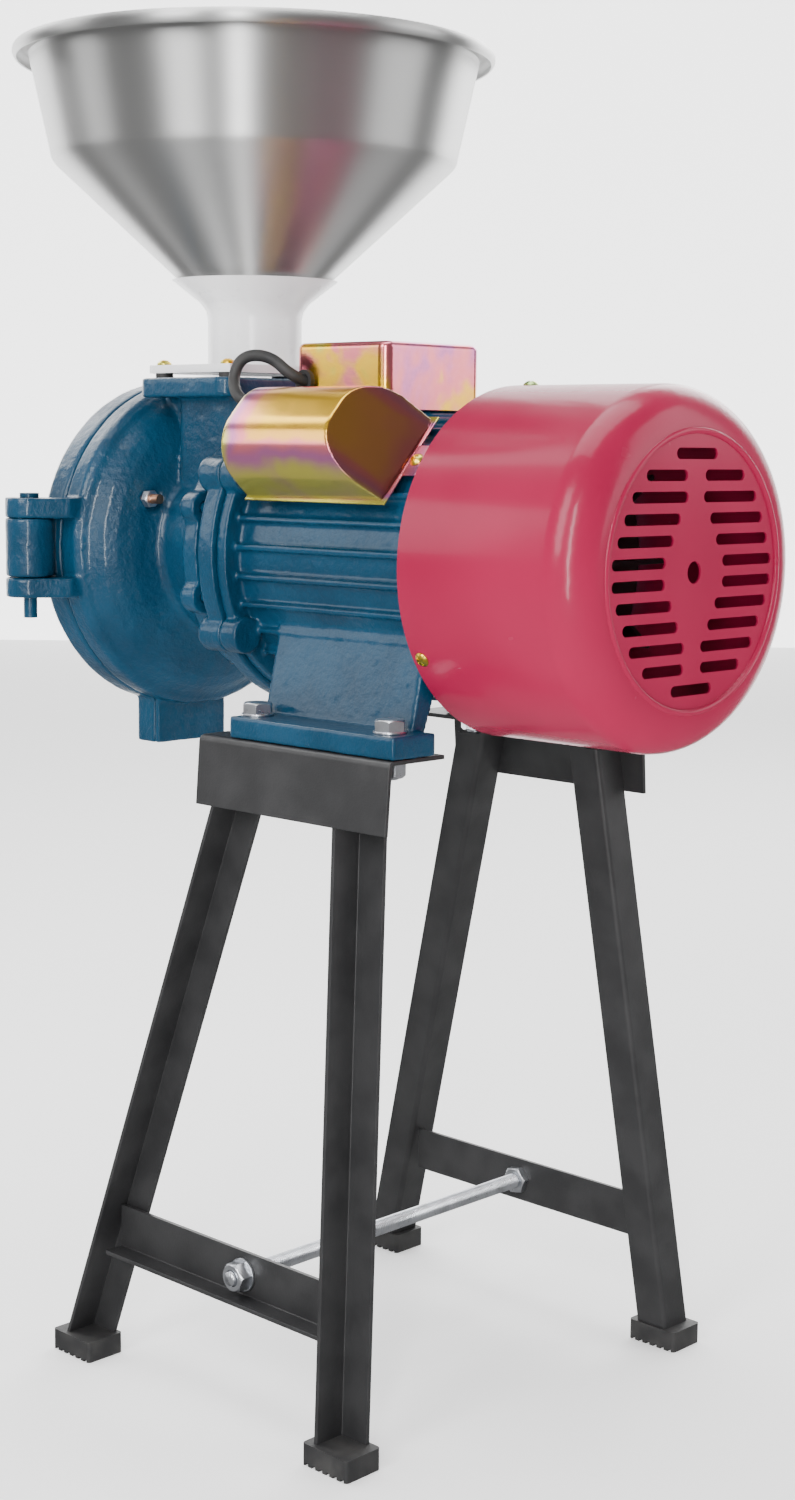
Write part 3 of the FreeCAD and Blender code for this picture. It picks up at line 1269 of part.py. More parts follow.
print(len(finished), "sub-parts")
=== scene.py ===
import json
import math

import bmesh
import bpy
from mathutils import Matrix, Vector


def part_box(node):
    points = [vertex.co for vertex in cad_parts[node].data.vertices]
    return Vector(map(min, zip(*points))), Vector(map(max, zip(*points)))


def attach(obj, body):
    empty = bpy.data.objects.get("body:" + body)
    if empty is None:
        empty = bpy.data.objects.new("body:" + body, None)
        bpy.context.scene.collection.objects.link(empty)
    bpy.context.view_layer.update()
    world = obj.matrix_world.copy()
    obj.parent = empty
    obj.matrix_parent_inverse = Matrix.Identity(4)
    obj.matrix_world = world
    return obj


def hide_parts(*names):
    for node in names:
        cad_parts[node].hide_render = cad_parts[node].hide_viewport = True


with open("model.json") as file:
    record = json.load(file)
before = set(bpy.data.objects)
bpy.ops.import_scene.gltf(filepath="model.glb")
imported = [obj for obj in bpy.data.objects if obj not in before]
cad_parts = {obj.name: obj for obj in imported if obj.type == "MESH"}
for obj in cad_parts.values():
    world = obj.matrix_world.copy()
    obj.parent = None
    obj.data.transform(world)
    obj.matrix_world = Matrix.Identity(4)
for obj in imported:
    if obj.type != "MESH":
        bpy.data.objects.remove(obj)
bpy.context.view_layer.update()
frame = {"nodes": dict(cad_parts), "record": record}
NODES = frame["nodes"]
BODY_OF = {node: body
           for body, nodes in frame["record"]["behaviour"]["bodies"].items()
           for node in nodes}
SLOT_OF = {node: obj.material_slots[0].material.name for node, obj in NODES.items()}


# ------------------------------------------------------------------ camera and stage
CAMERA_AZIMUTH, CAMERA_ELEVATION, CAMERA_ROLL = 44.053, 7.841, 0.582
CAMERA_PLACE = (0.9694, -0.9652, 0.5685)
CAMERA_LENS, CAMERA_SENSOR = 53.33, 36


def add_camera():
    azimuth, elevation, roll = (
        math.radians(angle) for angle in (CAMERA_AZIMUTH, CAMERA_ELEVATION, CAMERA_ROLL))
    back = Vector((math.sin(azimuth) * math.cos(elevation),
                   -math.cos(azimuth) * math.cos(elevation), math.sin(elevation)))
    level = Vector((math.cos(azimuth), math.sin(azimuth), 0))
    upright = back.cross(level)
    right = level * math.cos(roll) + upright * math.sin(roll)
    up = upright * math.cos(roll) - level * math.sin(roll)
    lens = bpy.data.cameras.new("camera")
    lens.lens = CAMERA_LENS
    lens.sensor_width = CAMERA_SENSOR
    lens.clip_end = 50
    camera = bpy.data.objects.new("camera", lens)
    matrix = Matrix.Identity(4)
    for column, axis in enumerate((right, up, back)):
        matrix.col[column].xyz = axis
    matrix.translation = CAMERA_PLACE
    camera.matrix_world = matrix
    bpy.context.scene.collection.objects.link(camera)
    bpy.context.scene.camera = camera


def linked(name, mesh):
    """A new object in the scene around a mesh or curve."""
    obj = bpy.data.objects.new(name, mesh)
    bpy.context.scene.collection.objects.link(obj)
    return obj


def plain_sheet(name, centre, across, up, material):
    """A flat stage sheet from its centre and two half-side vectors."""
    corners = [centre - across - up, centre + across - up,
               centre + across + up, centre - across + up]
    mesh = bpy.data.meshes.new(name)
    mesh.from_pydata([tuple(c) for c in corners], [], [(0, 1, 2, 3)])
    mesh.materials.append(material)
    obj = linked(name, mesh)
    return obj


def softbox(name, location, target, width, height, power):
    """A rectangular area light that the camera itself doesn't see."""
    data = bpy.data.lights.new(name, "AREA")
    data.shape = "RECTANGLE"
    data.size = width
    data.size_y = height
    data.energy = power
    light = bpy.data.objects.new(name, data)
    light.location = location
    aim = Vector(target) - Vector(location)
    light.rotation_euler = aim.to_track_quat("-Z", "Y").to_euler()
    light.visible_camera = False
    bpy.context.scene.collection.objects.link(light)


# ------------------------------------------------------------------ material helpers
class Shading:
    """A node material being built around its Principled shader."""

    def __init__(self, name, colour, roughness, metallic=0.0, coat=0.0, coat_roughness=0.1):
        self.material = bpy.data.materials.new(name)
        self.material.use_nodes = True
        self.tree = self.material.node_tree
        self.shader = self.tree.nodes["Principled BSDF"]
        self.place = self.tree.nodes.new("ShaderNodeTexCoord").outputs["Object"]
        self.normal = None
        self.set("Base Color", (*colour, 1))
        self.set("Roughness", roughness)
        self.set("Metallic", metallic)
        self.set("Coat Weight", coat)
        self.set("Coat Roughness", coat_roughness)

    def set(self, socket, value):
        self.shader.inputs[socket].default_value = value

    def join(self, output, target):
        self.tree.links.new(output, target)

    def mapped(self, scale=(1, 1, 1), rotation=(0, 0, 0), shift=(0, 0, 0)):
        node = self.tree.nodes.new("ShaderNodeMapping")
        node.inputs["Scale"].default_value = scale
        node.inputs["Rotation"].default_value = rotation
        node.inputs["Location"].default_value = shift
        self.join(self.place, node.inputs["Vector"])
        return node.outputs["Vector"]

    def noise(self, scale, detail=3.0, roughness=0.5, vector=None, distortion=0.0):
        node = self.tree.nodes.new("ShaderNodeTexNoise")
        node.inputs["Scale"].default_value = scale
        node.inputs["Detail"].default_value = detail
        node.inputs["Roughness"].default_value = roughness
        node.inputs["Distortion"].default_value = distortion
        self.join(vector or self.place, node.inputs["Vector"])
        return node.outputs["Fac"]

    def ramp(self, value, stops, smooth=True):
        node = self.tree.nodes.new("ShaderNodeValToRGB")
        node.color_ramp.interpolation = "EASE" if smooth else "LINEAR"
        marks = node.color_ramp.elements
        while len(marks) < len(stops):
            marks.new(0.5)
        for mark, (at, colour) in zip(marks, stops):
            mark.position = at
            if isinstance(colour, (int, float)):
                colour = (colour, colour, colour)
            mark.color = (*colour, 1)
        self.join(value, node.inputs["Fac"])
        return node.outputs["Color"]

    def math(self, operation, a, b=0.0, c=0.0):
        node = self.tree.nodes.new("ShaderNodeMath")
        node.operation = operation
        for socket, value in zip(node.inputs, (a, b, c)):
            if isinstance(value, (int, float)):
                socket.default_value = value
            else:
                self.join(value, socket)
        return node.outputs["Value"]

    def split(self, vector):
        node = self.tree.nodes.new("ShaderNodeSeparateXYZ")
        self.join(vector, node.inputs["Vector"])
        return node.outputs["X"], node.outputs["Y"], node.outputs["Z"]

    def mix(self, share, first, second, blend="MIX"):
        node = self.tree.nodes.new("ShaderNodeMix")
        node.data_type = "RGBA"
        node.blend_type = blend
        factor, colour_a, colour_b = (node.inputs[index] for index in (0, 6, 7))
        for socket, value in ((factor, share), (colour_a, first), (colour_b, second)):
            if isinstance(value, (int, float)):
                socket.default_value = value
            elif isinstance(value, tuple):
                socket.default_value = (*value, 1)
            else:
                self.join(value, socket)
        return node.outputs[2]

    def colour(self, output):
        self.join(output, self.shader.inputs["Base Color"])

    def rough(self, value, low, high):
        spread = self.math("MULTIPLY_ADD", value, high - low, low)
        self.join(spread, self.shader.inputs["Roughness"])

    def bump(self, height, distance, strength=1.0):
        node = self.tree.nodes.new("ShaderNodeBump")
        node.inputs["Distance"].default_value = distance
        node.inputs["Strength"].default_value = strength
        self.join(height, node.inputs["Height"])
        if self.normal:
            self.join(self.normal, node.inputs["Normal"])
        self.normal = node.outputs["Normal"]
        self.join(self.normal, self.shader.inputs["Normal"])


# ------------------------------------------------------------------ materials
def cast_enamel():
    look = Shading("blue_enamel", (0.003, 0.038, 0.080), 0.3, coat=0.28, coat_roughness=0.1)
    look.set("Specular IOR Level", 0.26)
    broad = look.noise(22, 3)
    fine = look.noise(420, 4, 0.6)
    tone = look.ramp(broad, [(0.3, (0.002, 0.030, 0.064)), (0.7, (0.004, 0.044, 0.090))])
    chips = look.ramp(look.noise(160, 6, 0.7), [(0.70, 0.0), (0.76, 1.0)], False)
    look.colour(look.mix(look.math("MULTIPLY", chips, 0.35), tone, (0.02, 0.12, 0.19)))
    look.rough(fine, 0.24, 0.42)
    look.bump(look.noise(240, 3, 0.55), 0.0011, 0.65)
    look.bump(look.noise(900, 3, 0.6), 0.0003, 0.5)
    return look.material


def red_enamel():
    look = Shading("red_enamel", (0.32, 0.004, 0.032), 0.3, coat=0.14, coat_roughness=0.1)
    look.set("Specular IOR Level", 0.16)
    tone = look.ramp(look.noise(9, 2), [(0.3, (0.245, 0.006, 0.036)), (0.7, (0.29, 0.010, 0.046))])
    look.colour(tone)
    look.rough(look.noise(60, 3), 0.2, 0.3)
    look.bump(look.noise(330, 2, 0.4), 0.0002, 0.25)
    return look.material


def stand_paint():
    look = Shading("black_paint", (0.022, 0.022, 0.023), 0.4)
    tone = look.ramp(look.noise(40, 4),
                     [(0.3, (0.018, 0.018, 0.019)), (0.7, (0.027, 0.027, 0.028))])
    scuff = look.ramp(look.noise(130, 8, 0.75), [(0.66, 0.0), (0.74, 1.0)], False)
    look.colour(look.mix(look.math("MULTIPLY", scuff, 0.18), tone, (0.09, 0.09, 0.092)))
    look.rough(look.noise(90, 4), 0.34, 0.52)
    look.bump(look.noise(650, 3), 0.0002, 0.4)
    return look.material


def rubber():
    look = Shading("black_rubber", (0.022, 0.022, 0.023), 0.6)
    look.colour(look.ramp(look.noise(70, 4),
                          [(0.3, (0.016, 0.016, 0.017)), (0.75, (0.036, 0.035, 0.034))]))
    look.rough(look.noise(140, 3), 0.5, 0.72)
    look.bump(look.noise(1200, 2), 0.00015, 0.5)
    return look.material


def bright_zinc():
    tint = (0.72, 0.74, 0.78)
    look = Shading("bright_zinc", tint, 0.3, metallic=1.0)
    dull = tuple(channel * 0.72 for channel in tint)
    look.colour(look.ramp(look.noise(90, 5), [(0.28, dull), (0.62, tint)]))
    look.rough(look.noise(260, 4), 0.2, 0.42)
    look.bump(look.noise(1500, 2), 0.00006, 0.4)
    return look.material


YELLOW, PINK, OLIVE = (0.85, 0.50, 0.03), (0.78, 0.20, 0.24), (0.60, 0.54, 0.10)
ORANGE, GREEN, VIOLET = (0.84, 0.42, 0.08), (0.26, 0.40, 0.16), (0.52, 0.17, 0.36)
# Dark brown painted onto the +X end face of the capacitor cover: painted shade standing in for a
# dark reflection, not a colour of the film.
END_FACE_SHADE = (0.15, 0.045, 0.03)
SPECKLED = [(0.26, PINK), (0.40, YELLOW), (0.55, OLIVE), (0.66, GREEN), (0.80, VIOLET)]


def yellow_zinc(name="yellow_zinc", scale=60, stops=SPECKLED, shine=(0.22, 0.38)):
    """Chromate film whose colour drifts with its thickness."""
    look = Shading(name, YELLOW, 0.3, metallic=1.0)
    look.colour(look.ramp(look.noise(scale, 3, 0.55, distortion=0.8), stops))
    look.rough(look.noise(300, 4), *shine)
    look.bump(look.noise(1400, 2), 0.00005, 0.4)
    return look.material


def plated_cover(name, node, tilt, middle, half, stops, noise_share, painted_end_shade=False):
    """Chromate film from the middle line of a cover to its edges, and perhaps painted shade on its
    +X end face.
    """
    look = Shading(name, YELLOW, 0.26, metallic=0.84)
    low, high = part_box(node)
    x, y, _ = look.split(look.mapped(rotation=(tilt - math.pi / 2, 0, 0)))
    half_x = (high.x - low.x) / 2
    along, across = (
        look.math("ABSOLUTE", look.math("DIVIDE", look.math("SUBTRACT", value, centre), reach))
        for value, centre, reach in ((x, low.x + half_x, half_x), (y, middle, half)))
    edge = look.math("MAXIMUM", look.math("POWER", along, 1.6), look.math("POWER", across, 1.6))
    cloud = look.noise(20, 2, 0.5, distortion=0.8)
    drift = look.math("MULTIPLY_ADD", cloud, noise_share, -noise_share / 2)
    film = look.ramp(look.math("ADD", edge, drift), stops)
    # Painted shade: faces turned towards +X are darkened towards brown, in place of the dark
    # reflection on that end.
    if painted_end_shade:
        normal = look.tree.nodes.new("ShaderNodeTexCoord").outputs["Normal"]
        facing, _, _ = look.split(normal)
        film = look.mix(look.ramp(facing, [(0.25, 0.0), (0.75, 0.82)]), film, END_FACE_SHADE)
    look.colour(film)
    look.rough(look.noise(90, 2), 0.15, 0.23)
    look.bump(look.noise(700, 2), 0.00003, 0.15)
    look.bump(look.noise(14, 2), 0.0010, 0.15)
    return look.material


def stainless():
    """Spun sheet: fine rings around the axis, so highlights stretch along it."""
    look = Shading("stainless", (0.60, 0.60, 0.596), 0.46, metallic=1.0)
    rings = look.noise(1.0, 4, 0.6, vector=look.mapped(scale=(6, 6, 900)))
    look.colour(look.ramp(look.noise(5, 3),
                          [(0.3, (0.57, 0.57, 0.566)), (0.7, (0.63, 0.63, 0.626))]))
    look.rough(rings, 0.42, 0.50)
    look.bump(rings, 0.00003, 0.2)
    look.set("Anisotropic", 0.95)
    look.set("Anisotropic Rotation", 0.25)
    grain = look.tree.nodes.new("ShaderNodeTangent")
    grain.direction_type = "RADIAL"
    grain.axis = "Z"
    look.join(grain.outputs["Tangent"], look.shader.inputs["Tangent"])
    return look.material


def moulded(name, colour, roughness=0.35, coat=0.2, variation=0.06):
    look = Shading(name, colour, roughness, coat=coat, coat_roughness=0.2)
    dark = tuple(channel * (1 - variation) for channel in colour)
    look.colour(look.ramp(look.noise(30, 3), [(0.3, dark), (0.7, colour)]))
    look.rough(look.noise(160, 3), roughness - 0.05, roughness + 0.08)
    look.bump(look.noise(800, 2), 0.0001, 0.35)
    return look.material


def raw_metal(name, colour, roughness, grain=300, bump=0.0002):
    look = Shading(name, colour, roughness, metallic=1.0)
    dark = tuple(channel * 0.6 for channel in colour)
    look.colour(look.ramp(look.noise(grain / 5, 5), [(0.3, dark), (0.68, colour)]))
    look.rough(look.noise(grain, 4), roughness - 0.08, roughness + 0.12)
    look.bump(look.noise(grain * 2, 3), bump, 0.5)
    return look.material


def felted():
    look = Shading("felt", (0.25, 0.24, 0.22), 0.95)
    look.bump(look.noise(1100, 6, 0.7), 0.0004, 0.8)
    look.colour(look.ramp(look.noise(500, 5),
                          [(0.3, (0.17, 0.16, 0.15)), (0.7, (0.33, 0.32, 0.29))]))
    return look.material


LOOKS = {
    "blue_enamel": cast_enamel(),
    "red_enamel": red_enamel(),
    "black_paint": stand_paint(),
    "black_rubber": rubber(),
    "bright_zinc": bright_zinc(),
    "yellow_zinc": yellow_zinc(),
    "stainless": stainless(),
    "white_plastic": moulded("white_plastic", (0.90, 0.90, 0.91), 0.28, 0.5, 0.03),
    "black_plastic": moulded("black_plastic", (0.025, 0.025, 0.027), 0.38, 0.2, 0.3),
    "copper_steel": raw_metal("copper_steel", (0.80, 0.42, 0.26), 0.34),
    "disc_iron": raw_metal("disc_iron", (0.30, 0.30, 0.30), 0.5, 240, 0.0004),
    "felt": felted(),
    "lamination": raw_metal("lamination", (0.42, 0.42, 0.43), 0.42),
    "copper_wire": raw_metal("copper_wire", (0.72, 0.30, 0.15), 0.38, 500),
    "bearing_steel": raw_metal("bearing_steel", (0.66, 0.66, 0.67), 0.22),
}
for name, obj in NODES.items():
    for slot in obj.material_slots:
        slot.material = LOOKS[slot.material.name]


# ------------------------------------------------------------------ mesh helpers
def baked(obj):
    """The object's mesh with its modifiers applied, in place of the old one."""
    graph = bpy.context.evaluated_depsgraph_get()
    graph.update()
    mesh = bpy.data.meshes.new_from_object(obj.evaluated_get(graph), depsgraph=graph)
    obj.modifiers.clear()
    obj.data = mesh
    return obj


def stands_for(obj, *nodes, look=None):
    """The piece takes the place, body and finish of the CAD nodes."""
    slot = SLOT_OF[nodes[0]]
    obj.data.materials.clear()
    obj.data.materials.append(look or LOOKS[slot])
    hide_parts(*nodes)
    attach(obj, BODY_OF[nodes[0]])
    return obj


def goes_with(obj, node, look=None, slot=None):
    """A further piece on the same body as a CAD node."""
    slot = slot or SLOT_OF[node]
    obj.data.materials.clear()
    obj.data.materials.append(look or LOOKS[slot])
    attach(obj, BODY_OF[node])
    return obj


def copy_of(node, flat=0.6):
    """A welded copy of a CAD node's mesh, with its flat faces in one piece each."""
    obj = linked(node + "_piece", NODES[node].data.copy())
    shell = bmesh.new()
    shell.from_mesh(obj.data)
    bmesh.ops.remove_doubles(shell, verts=shell.verts, dist=WELD)
    if flat:
        bmesh.ops.dissolve_limit(shell, angle_limit=math.radians(flat),
                                 use_dissolve_boundaries=False, delimit=set(),
                                 verts=shell.verts, edges=shell.edges)
    shell.to_mesh(obj.data)
    shell.free()
    return obj


SHARP_EDGE = 28
WELD = 0.000002


def softened(node, width, segments=2, look=None, flat=0.6):
    """Sheet or machined metal: every edge carries a small round."""
    obj = copy_of(node, flat)
    bevel = obj.modifiers.new("edges", "BEVEL")
    bevel.width = width
    bevel.segments = segments
    bevel.limit_method = "ANGLE"
    bevel.angle_limit = math.radians(SHARP_EDGE)
    bevel.use_clamp_overlap = True
    obj.data.shade_smooth()
    even = obj.modifiers.new("even", "WEIGHTED_NORMAL")
    even.weight = 100
    baked(obj)
    return stands_for(obj, node, look=look)


def remeshed(obj, voxel, smoothing):
    """Adds a voxel skin and its smoothing to the object's modifiers."""
    remesh = obj.modifiers.new("skin", "REMESH")
    remesh.mode = "VOXEL"
    remesh.voxel_size = voxel
    even = obj.modifiers.new("even", "SMOOTH")
    even.factor = 0.5
    even.iterations = smoothing


LUMPS = ((0.014, 0.0005), (0.0045, 0.0005 * 0.55))


def casting(node, voxel):
    """A sand casting: all edges rounded, with a slightly uneven skin."""
    obj = copy_of(node, 0)
    remeshed(obj, voxel, 4)
    for size, strength in LUMPS:
        texture = bpy.data.textures.new(f"{node}_{size}", "CLOUDS")
        texture.noise_scale = size
        texture.noise_depth = 2
        uneven = obj.modifiers.new("uneven", "DISPLACE")
        uneven.texture = texture
        uneven.texture_coords = "GLOBAL"
        uneven.strength = strength
        uneven.mid_level = 0.5
    baked(obj)
    obj.data.shade_smooth()
    return stands_for(obj, node)


def lathe(name, profile, axis_x, axis_y, segments):
    """A surface turned about a vertical line, its object sitting on that line."""
    mesh = bpy.data.meshes.new(name)
    points, faces = [], []
    for radius, height in profile:
        for step in range(segments):
            angle = 2 * math.pi * step / segments
            points.append((radius * math.cos(angle), radius * math.sin(angle), height))
    rows = len(profile)
    for row in range(rows):
        following = (row + 1) % rows
        for step in range(segments):
            beside = (step + 1) % segments
            faces.append((row * segments + step, row * segments + beside,
                          following * segments + beside, following * segments + step))
    mesh.from_pydata(points, [], faces)
    mesh.update()
    obj = linked(name, mesh)
    obj.location = (axis_x, axis_y, 0)
    obj.data.shade_smooth()
    return obj


def threaded(name, start, direction, length, radius, pitch, depth, steps=28, per_turn=6):
    """A rod with a real helical thread, closed at both ends."""
    turn = Vector(direction).to_track_quat("Z", "Y").to_matrix()
    rows = max(2, int(length / pitch * per_turn))
    points, faces = [], []
    for row in range(rows + 1):
        height = length * row / rows
        for step in range(steps):
            share = step / steps
            phase = (height / pitch - share) % 1.0
            fade = min(1.0, min(row, rows - row) / (2.0 * per_turn))
            size = radius - depth * (1 - fade * (1 - abs(2 * phase - 1)))
            angle = 2 * math.pi * share
            around_axis = Vector((size * math.cos(angle), size * math.sin(angle), height))
            points.append(Vector(start) + turn @ around_axis)
    for row in range(rows):
        for step in range(steps):
            beside = (step + 1) % steps
            faces.append((row * steps + step, row * steps + beside,
                          (row + 1) * steps + beside, (row + 1) * steps + step))
    faces.append(tuple(reversed(range(steps))))
    faces.append(tuple(rows * steps + step for step in range(steps)))
    mesh = bpy.data.meshes.new(name)
    mesh.from_pydata([tuple(p) for p in points], [], faces)
    mesh.update()
    mesh.shade_smooth()
    return linked(name, mesh)


add_camera()


# ------------------------------------------------------------------ cable between the covers
CABLE_DIAMETER = 0.007
CABLE_ROUTE = [
    (-0.005, -0.072, 0.591), (-0.026, -0.072, 0.591), (-0.041, -0.067, 0.604),
    (-0.038, -0.062, 0.620), (-0.019, -0.056, 0.620), (-0.0045, -0.051, 0.607),
    (-0.002, -0.0385, 0.604),
]


def jumper_cable():
    line = bpy.data.curves.new("jumper_cable_line", "CURVE")
    line.dimensions = "3D"
    line.bevel_depth = CABLE_DIAMETER / 2
    line.bevel_resolution = 8
    line.resolution_u = 16
    line.use_fill_caps = True
    spline = line.splines.new("NURBS")
    spline.points.add(len(CABLE_ROUTE) - 1)
    for point, place in zip(spline.points, CABLE_ROUTE):
        point.co = (*place, 1)
    spline.order_u = 3
    spline.use_endpoint_u = True
    cable = linked("jumper_cable_piece", line)
    stands_for(cable, "jumper_cable")


jumper_cable()

# ------------------------------------------------------------------ castings and sheet parts
for node, voxel in (("grinding_housing", 0.0013), ("front_cover", 0.0013),
                    ("motor_frame", 0.0012), ("front_end_shield", 0.0012)):
    casting(node, voxel)

for node in ("near_top_bracket", "far_top_bracket", "leg_near_left", "leg_near_right",
             "leg_far_left", "leg_far_right", "near_lower_rail", "far_lower_rail"):
    softened(node, 0.0007, 3)
for node in ("foot_bolts", "foot_nuts", "foot_washers", "tie_rod_nuts", "tie_rod_washers",
             "end_shield_bolts", "neck_bolts", "hinge_pin", "gap_lock_nut", "disc_stud_nuts"):
    softened(node, 0.0003, 2)
for node, width, segments in (("rubber_shoes", 0.0006, 2), ("collar", 0.0006, 3),
                              ("gap_knob", 0.0012, 3), ("swing_nut", 0.0008, 3)):
    softened(node, width, segments)
softened("fan_cover", 0.0004, 2, flat=0)

THREAD_PITCH, THREAD_DEPTH = 0.0015, 0.0008


def tie_rod():
    """The rod between the lower rails, threaded all along."""
    low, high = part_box("tie_rod")
    start = ((low.x + high.x) / 2, low.y, (low.z + high.z) / 2)
    rod = threaded("tie_rod_thread", start, (0, 1, 0), high.y - low.y, (high.x - low.x) / 2,
                   THREAD_PITCH, THREAD_DEPTH)
    stands_for(rod, "tie_rod")


tie_rod()


# ------------------------------------------------------------------ hopper
def arc(centre, radius, begin, end, steps):
    """Points of (radius, height) around a centre, angles in degrees."""
    points = []
    for step in range(steps + 1):
        angle = math.radians(begin + (end - begin) * step / steps)
        points.append((centre[0] + radius * math.cos(angle), centre[1] + radius * math.sin(angle)))
    return points


SHEET = 0.001
CREASE, CREASE_Z = 0.1266, 0.7414
THROAT, CONE_Z = 0.0266, 0.6515
BEAD = 0.0046
LIP_BEND = 0.1434
BOWL_SEGMENTS = 256


def hopper():
    """A spun bowl: neck, cone, soft crease, wall and a lip rolled outwards."""
    low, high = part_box("hopper")
    rim, top = (high.x - low.x) / 2, high.z
    roll = (rim - BEAD, top - BEAD)
    bend = (LIP_BEND, top - 0.0056)
    outer = [
        (THROAT + SHEET, low.z), (THROAT + SHEET, CONE_Z - 0.002),
        (THROAT + SHEET + 0.002, CONE_Z + 0.001),
        (CREASE - 0.003, CREASE_Z - 0.0030), (CREASE - 0.0008, CREASE_Z - 0.0004),
        (CREASE + 0.0002, CREASE_Z + 0.0014), (CREASE + 0.0008, CREASE_Z + 0.0045),
        (0.1392, top - 0.010), (0.1400, top - 0.0062),
    ]
    outer += arc(bend, 0.0034, 190, 118, 6)
    rolled = arc(roll, BEAD - SHEET, 96, -60, 16) + arc(roll, BEAD, -60, 96, 18)
    inner = [(0.1418, top - 0.0008)] + arc(bend, 0.0046, 120, 184, 6)
    inner += [
        (0.1382, top - 0.010), (CREASE - 0.0002, CREASE_Z + 0.0050),
        (CREASE - 0.0010, CREASE_Z + 0.0012), (CREASE - 0.0040, CREASE_Z - 0.0024),
        (THROAT + 0.002, CONE_Z + 0.002), (THROAT, CONE_Z - 0.001), (THROAT, low.z),
    ]
    axis_x, axis_y = (low.x + high.x) / 2, (low.y + high.y) / 2
    bowl = lathe("hopper_bowl", outer + rolled + inner, axis_x, axis_y, BOWL_SEGMENTS)
    stands_for(bowl, "hopper")


hopper()


# ------------------------------------------------------------------ capacitor cover
TILT = math.radians(42)
OUT = Vector((0, -math.cos(TILT), math.sin(TILT)))
ACROSS = Vector((0, math.sin(TILT), math.cos(TILT)))
SHAFT = Vector((0, 0, (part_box("shaft")[0].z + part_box("shaft")[1].z) / 2))


def hull_of(name, points):
    """The closed convex skin around some points."""
    shell = bmesh.new()
    for point in points:
        shell.verts.new(point)
    result = bmesh.ops.convex_hull(shell, input=shell.verts)
    spare = [part for part in result["geom_interior"] if isinstance(part, bmesh.types.BMVert)]
    bmesh.ops.delete(shell, geom=spare, context="VERTS")
    bmesh.ops.recalc_face_normals(shell, faces=shell.faces)
    mesh = bpy.data.meshes.new(name)
    shell.to_mesh(mesh)
    shell.free()
    return linked(name, mesh)


def cover_point(x, side, rise):
    """A point from its place along the motor, across the cover and out from the shaft."""
    return SHAFT + Vector((x, 0, 0)) + ACROSS * side + OUT * rise


def cover_plate(name, points, width, look):
    """A flat sheet of the capacitor cover with rounded edges."""
    plate = hull_of(name, points)
    bevel = plate.modifiers.new("edges", "BEVEL")
    bevel.width = width
    bevel.segments = 3
    bevel.limit_method = "ANGLE"
    baked(plate)
    plate.data.shade_smooth()
    goes_with(plate, "capacitor_cover", look=look)


TAB_LONG, TAB_WIDE, TAB_END = 0.0142, 0.011, 0.007
RIM_SPREAD, RIM_SHEET = 0.0016, 0.0012


def capacitor_cover():
    """A domed shell with a rim around its foot and a screw tab at its back."""
    low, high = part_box("capacitor_cover")
    back = high.x - TAB_LONG
    corners = [v.co.copy() for v in NODES["capacitor_cover"].data.vertices if v.co.x < back]
    base = min((c - SHAFT).dot(OUT) for c in corners)
    half = max((c - SHAFT).dot(ACROSS) for c in corners)
    shell = hull_of("capacitor_cover_shell", corners)
    remeshed(shell, 0.0008, 10)
    baked(shell)
    shell.data.shade_smooth()
    film = ("capacitor_cover", TILT, SHAFT.dot(ACROSS), half,
            [(0.22, YELLOW), (0.45, ORANGE), (0.62, PINK), (0.80, VIOLET), (1.0, OLIVE)], 0.45)
    # The shell gets the painted shade on its +X end face; the rim and the tab do not.
    stands_for(shell, "capacitor_cover",
               look=plated_cover("capacitor_film", *film, painted_end_shade=True))
    look = plated_cover("capacitor_rim_film", *film)
    heights = (base, base + RIM_SHEET)
    rim = [cover_point(x, side, rise)
           for x in (low.x - RIM_SPREAD, back + RIM_SPREAD)
           for side in (-half - RIM_SPREAD, half + RIM_SPREAD)
           for rise in heights]
    cover_plate("capacitor_cover_lip", rim, 0.0005, look)
    outline = ((back - 0.004, TAB_WIDE), (high.x - 0.004, TAB_WIDE), (high.x, TAB_END))
    tab = [cover_point(x, side, rise)
           for x, reach in outline for side in (-reach, reach) for rise in heights]
    cover_plate("capacitor_cover_tab", tab, 0.0004, look)


capacitor_cover()

box_film = yellow_zinc(
    "terminal_box_film", 14,
    [(0.30, OLIVE), (0.40, YELLOW), (0.50, PINK), (0.62, VIOLET), (0.74, PINK)], (0.16, 0.26))
softened("terminal_box", 0.0006, 3, look=box_film)


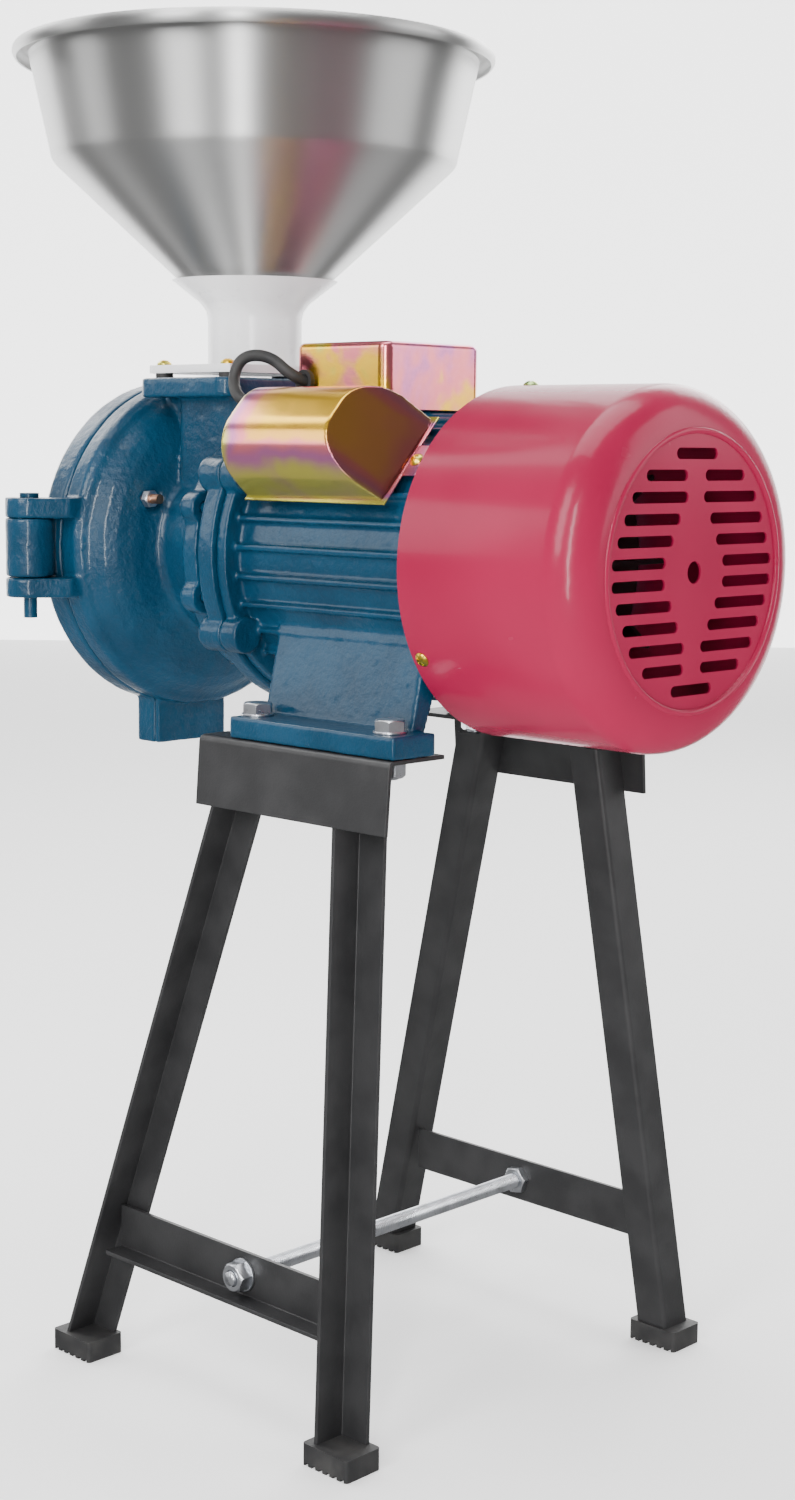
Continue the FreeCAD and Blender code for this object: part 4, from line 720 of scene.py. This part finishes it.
# ------------------------------------------------------------------ light and stage
def stage_look(name, grey, glow):
    """A pale matt surface with a little light of its own."""
    colour = (grey, grey, grey)
    look = Shading(name, colour, 0.8)
    dim = tuple(channel * 0.98 for channel in colour)
    look.colour(look.ramp(look.noise(1.5, 2), [(0.3, dim), (0.7, colour)]))
    look.set("Emission Color", (1, 1, 1, 1))
    look.set("Emission Strength", glow)
    look.set("Specular IOR Level", 0.1)
    return look.material


CENTRE = Vector((0, 0, 0.42))
TO_CAMERA = Vector((math.sin(math.radians(CAMERA_AZIMUTH)),
                    -math.cos(math.radians(CAMERA_AZIMUTH)), 0))
BESIDE = Vector((-TO_CAMERA.y, TO_CAMERA.x, 0))
FLOOR_HALF = 7

# Glossy surfaces don't mirror the floor, so that it doesn't wash out the enamel and the hopper.
ground = plain_sheet("floor", Vector((0, 0, 0)), Vector((FLOOR_HALF, 0, 0)),
                     Vector((0, FLOOR_HALF, 0)), stage_look("ground", 0.90, 0.40))
ground.visible_glossy = False
plain_sheet("backdrop", CENTRE - TO_CAMERA * 5 + Vector((0, 0, 2)), BESIDE * 7, Vector((0, 0, 4)),
            stage_look("backdrop", 0.92, 2.6))

world = bpy.data.worlds.new("studio")
bpy.context.scene.world = world
world.use_nodes = True
world.node_tree.nodes["Background"].inputs["Color"].default_value = (1, 1, 1, 1)
world.node_tree.nodes["Background"].inputs["Strength"].default_value = 0.32


def around(turn, distance, height):
    """A place at an angle to the camera's side, in degrees, positive to the right."""
    angle = math.radians(turn)
    ahead, aside = distance * math.cos(angle), distance * math.sin(angle)
    return TO_CAMERA * ahead + BESIDE * aside + Vector((0, 0, height))


softbox("key", around(-36, 2.4, 1.7), CENTRE, 0.8, 1.8, 50)
softbox("front", around(-6, 2.6, 1.0), CENTRE, 0.26, 2.2, 52)
softbox("right", around(84, 2.4, 1.4), CENTRE, 1.4, 1.8, 26)
softbox("left", around(-126, 2.0, 2.2), CENTRE, 1.3, 1.3, 26)
softbox("side", around(-90, 2.2, 1.2), Vector((0, 0, 0.6)), 0.7, 1.0, 8)
softbox("top", Vector((-0.2, 0, 2.4)), CENTRE, 1.6, 1.6, 46)
softbox("rear", around(150, 2.4, 1.8), CENTRE, 1.4, 1.4, 34)
